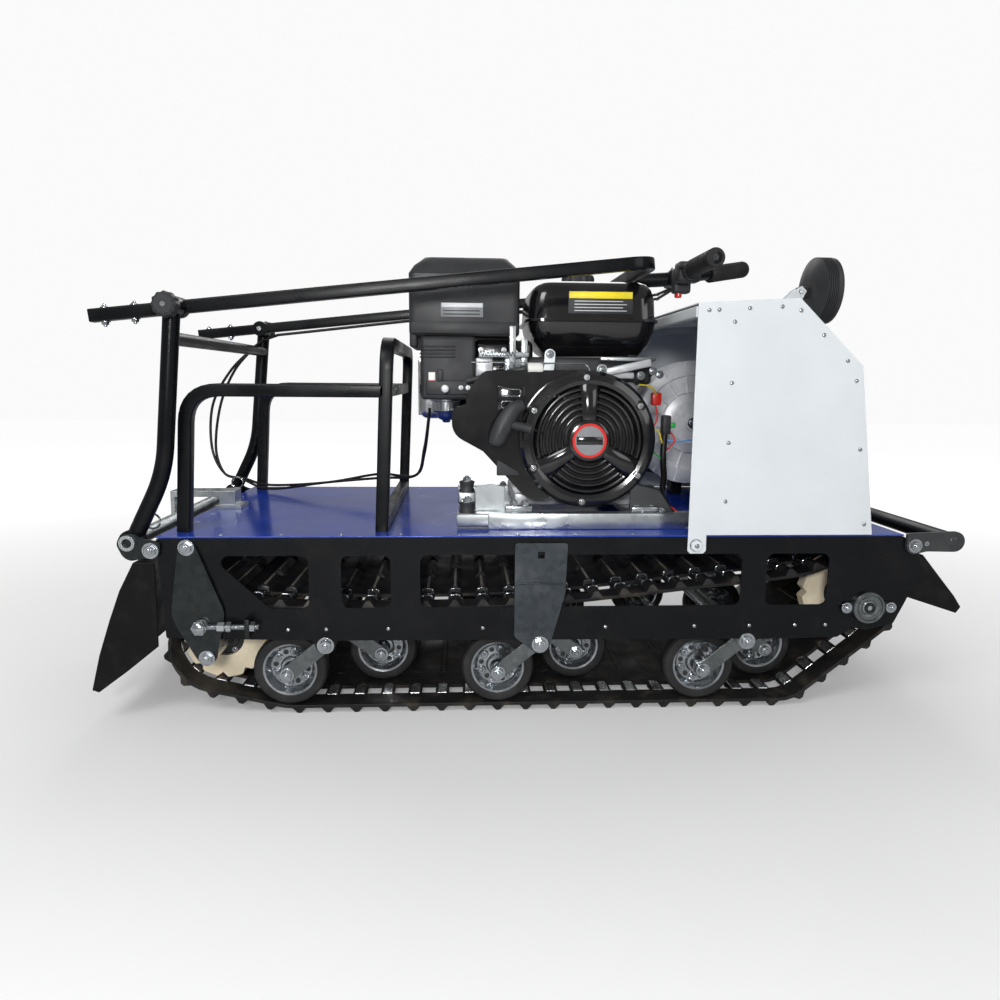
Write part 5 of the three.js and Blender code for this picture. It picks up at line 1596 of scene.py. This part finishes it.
def cables():
    """Two control cables, each in four lengths: handle, handle pivot, portal and deck."""
    place = placer(HEAD)
    on_deck = placer(at(HEAD.x, 0, DECK))
    carburettor_end = low("carburettor") + at(14, 48, 18)
    for name, drift in (("throttle", 0.0), ("stop", 9.0)):
        top = at(HEAD.x + 40, 246 - drift / 2, arm_height(HEAD.x + 40) - 18)
        knee = place(-22, 268, -40)
        loop = place(-106 - 2 * drift, 268, -177)
        foot = on_deck(-60 + drift, 246, 26)
        along_arm = [
            place(898, -40, 79), place(876, 60, 69 - drift), place(880, 120, 73 - drift),
            place(770, 236, 59 - drift), at(HEAD.x + 480, 238, arm_height(HEAD.x + 480) - 16), top,
        ]
        past_pivot = [top, place(4, 254, -26), knee]
        down_portal = [
            knee, place(-70 - drift, 266, -97), loop, place(-120 - drift, 264, -277), place(-100, 256, -337),
            foot,
        ]
        over_deck = [
            foot, on_deck(20, 200, 8 + drift), on_deck(160, 150, 30), on_deck(280, 120, 44 + drift),
            on_deck(365, 40, 60), on_deck(390, -60, 117 + drift), carburettor_end,
        ]
        for part, points, body in (
            ("handle", along_arm, "handle"),
            ("head", past_pivot, None),
            ("portal", down_portal, None),
            ("deck", over_deck, "chassis"),
        ):
            form = Form()
            form.wire(points)
            piece = form.make(f"{name}_cable_{part}", body, "matt_black_plastic", bevel=0)
            if part == "head":
                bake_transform(piece)
            if part == "portal":
                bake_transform(piece)


# ---------------------------------------------------------------- stage


def stage():
    """A pale floor, a bright backdrop and four soft lights, in metres."""
    scene = bpy.context.scene
    floor_mesh = bpy.data.meshes.new("floor")
    reach = 9.0
    corners = [(-reach, -reach, 0), (reach, -reach, 0), (reach, reach, 0), (-reach, reach, 0)]
    floor_mesh.from_pydata(corners, [], [(0, 1, 2, 3)])
    floor = bpy.data.objects.new("floor", floor_mesh)
    scene.collection.objects.link(floor)
    s = Surface("pale floor")
    s.set(Base_Color=s.mix(s.noise(2), (0.6, 0.6, 0.6), (0.64, 0.64, 0.64)), Roughness=0.85)
    # A glow, for the camera alone, keeps the far floor pale without lighting the machine from below.
    distance = s.node("ShaderNodeVectorMath")
    distance.operation = "LENGTH"
    s.link(s.coords, distance.inputs[0])
    glow = s.node("ShaderNodeMath")
    glow.operation = "MULTIPLY"
    s.link(s.spread(distance.outputs["Value"], 0.5, 3.2, 0.16, 0.78), glow.inputs[1])
    s.link(s.node("ShaderNodeLightPath").outputs["Is Camera Ray"], glow.inputs[0])
    s.set(Emission_Color=(1, 1, 1, 1), Emission_Strength=glow.outputs[0])
    floor_mesh.materials.append(s.material)

    world = bpy.data.worlds.new("studio")
    scene.world = world
    world.use_nodes = True
    tree = world.node_tree
    background = tree.nodes["Background"]
    background.inputs["Color"].default_value = (1, 1, 1, 1)
    # The backdrop is bright where the camera sees it and dimmer as a source of light.
    path = tree.nodes.new("ShaderNodeLightPath")
    level = tree.nodes.new("ShaderNodeMapRange")
    level.inputs["To Min"].default_value = 0.3
    level.inputs["To Max"].default_value = 0.96
    tree.links.new(path.outputs["Is Camera Ray"], level.inputs["Value"])
    tree.links.new(level.outputs["Result"], background.inputs["Strength"])

    middle = Vector((0, 0, 0.4))
    for name, place, size, power in (
        ("key", (-1.4, -2.6, 2.9), 1.4, 52),
        ("fill", (2.4, -2.8, 1.6), 1.6, 16),
        ("front", (-0.3, -2.2, 0.95), 0.28, 22),
        ("back", (0.4, 2.8, 2.8), 2.6, 50),
    ):
        light = bpy.data.lights.new(name, "AREA")
        light.size = size
        light.energy = power
        lamp = bpy.data.objects.new(name, light)
        lamp.location = place
        lamp.rotation_mode = "QUATERNION"
        lamp.rotation_quaternion = (middle - Vector(place)).to_track_quat("-Z", "Y")
        scene.collection.objects.link(lamp)
    scene.view_settings.view_transform = "Standard"


def camera():
    """A side view from a little above the deck, turned slightly towards the hood. Angles are in radians."""
    yaw, pitch, roll = 0.0528, 0.1462, 0.008
    forward = Vector((math.sin(yaw) * math.cos(pitch), math.cos(yaw) * math.cos(pitch), -math.sin(pitch)))
    right = Vector((math.cos(yaw), -math.sin(yaw), 0))
    up = right.cross(forward)
    across = right * math.cos(roll) + up * math.sin(roll)
    above = up * math.cos(roll) - right * math.sin(roll)
    data = bpy.data.cameras.new("camera")
    data.sensor_width = 36
    data.lens = 26.26
    data.shift_y = -0.01176
    view = bpy.data.objects.new("camera", data)
    view.rotation_mode = "QUATERNION"
    turn = Matrix((across, above, -forward)).transposed()
    view.rotation_quaternion = turn.to_quaternion()
    view.location = (-0.11618, -1.4982, 0.59265)
    bpy.context.scene.collection.objects.link(view)
    bpy.context.scene.camera = view


# ---------------------------------------------------------------- the whole machine

track()
for label, sign in SIDES:
    for axle in ("rear", "mid", "front"):
        for row in ("outer", "inner"):
            wheel = f"{label}_{axle}_{row}_wheel"
            road_wheel(wheel, wheel)
    sprocket(f"{label}_drive_sprocket", "drive", DRIVE)
    sprocket(f"{label}_idler_wheel", "idler", IDLER)
for axle in ("rear", "mid", "front"):
    bogie(f"{axle}_bogie", axle)
axles()
chassis()
mid_brackets()
drive_bearings()
tensioners()
ends()
rack()
portal()
knobs()
handle()
recoil()
starter_handle()
shroud()
engine()
tank()
air_cleaner()
carburettor()
exhaust()
linkage()
cradle()
pulleys()
wiring()
hood()
headlamp()
cables()
stage()
camera()
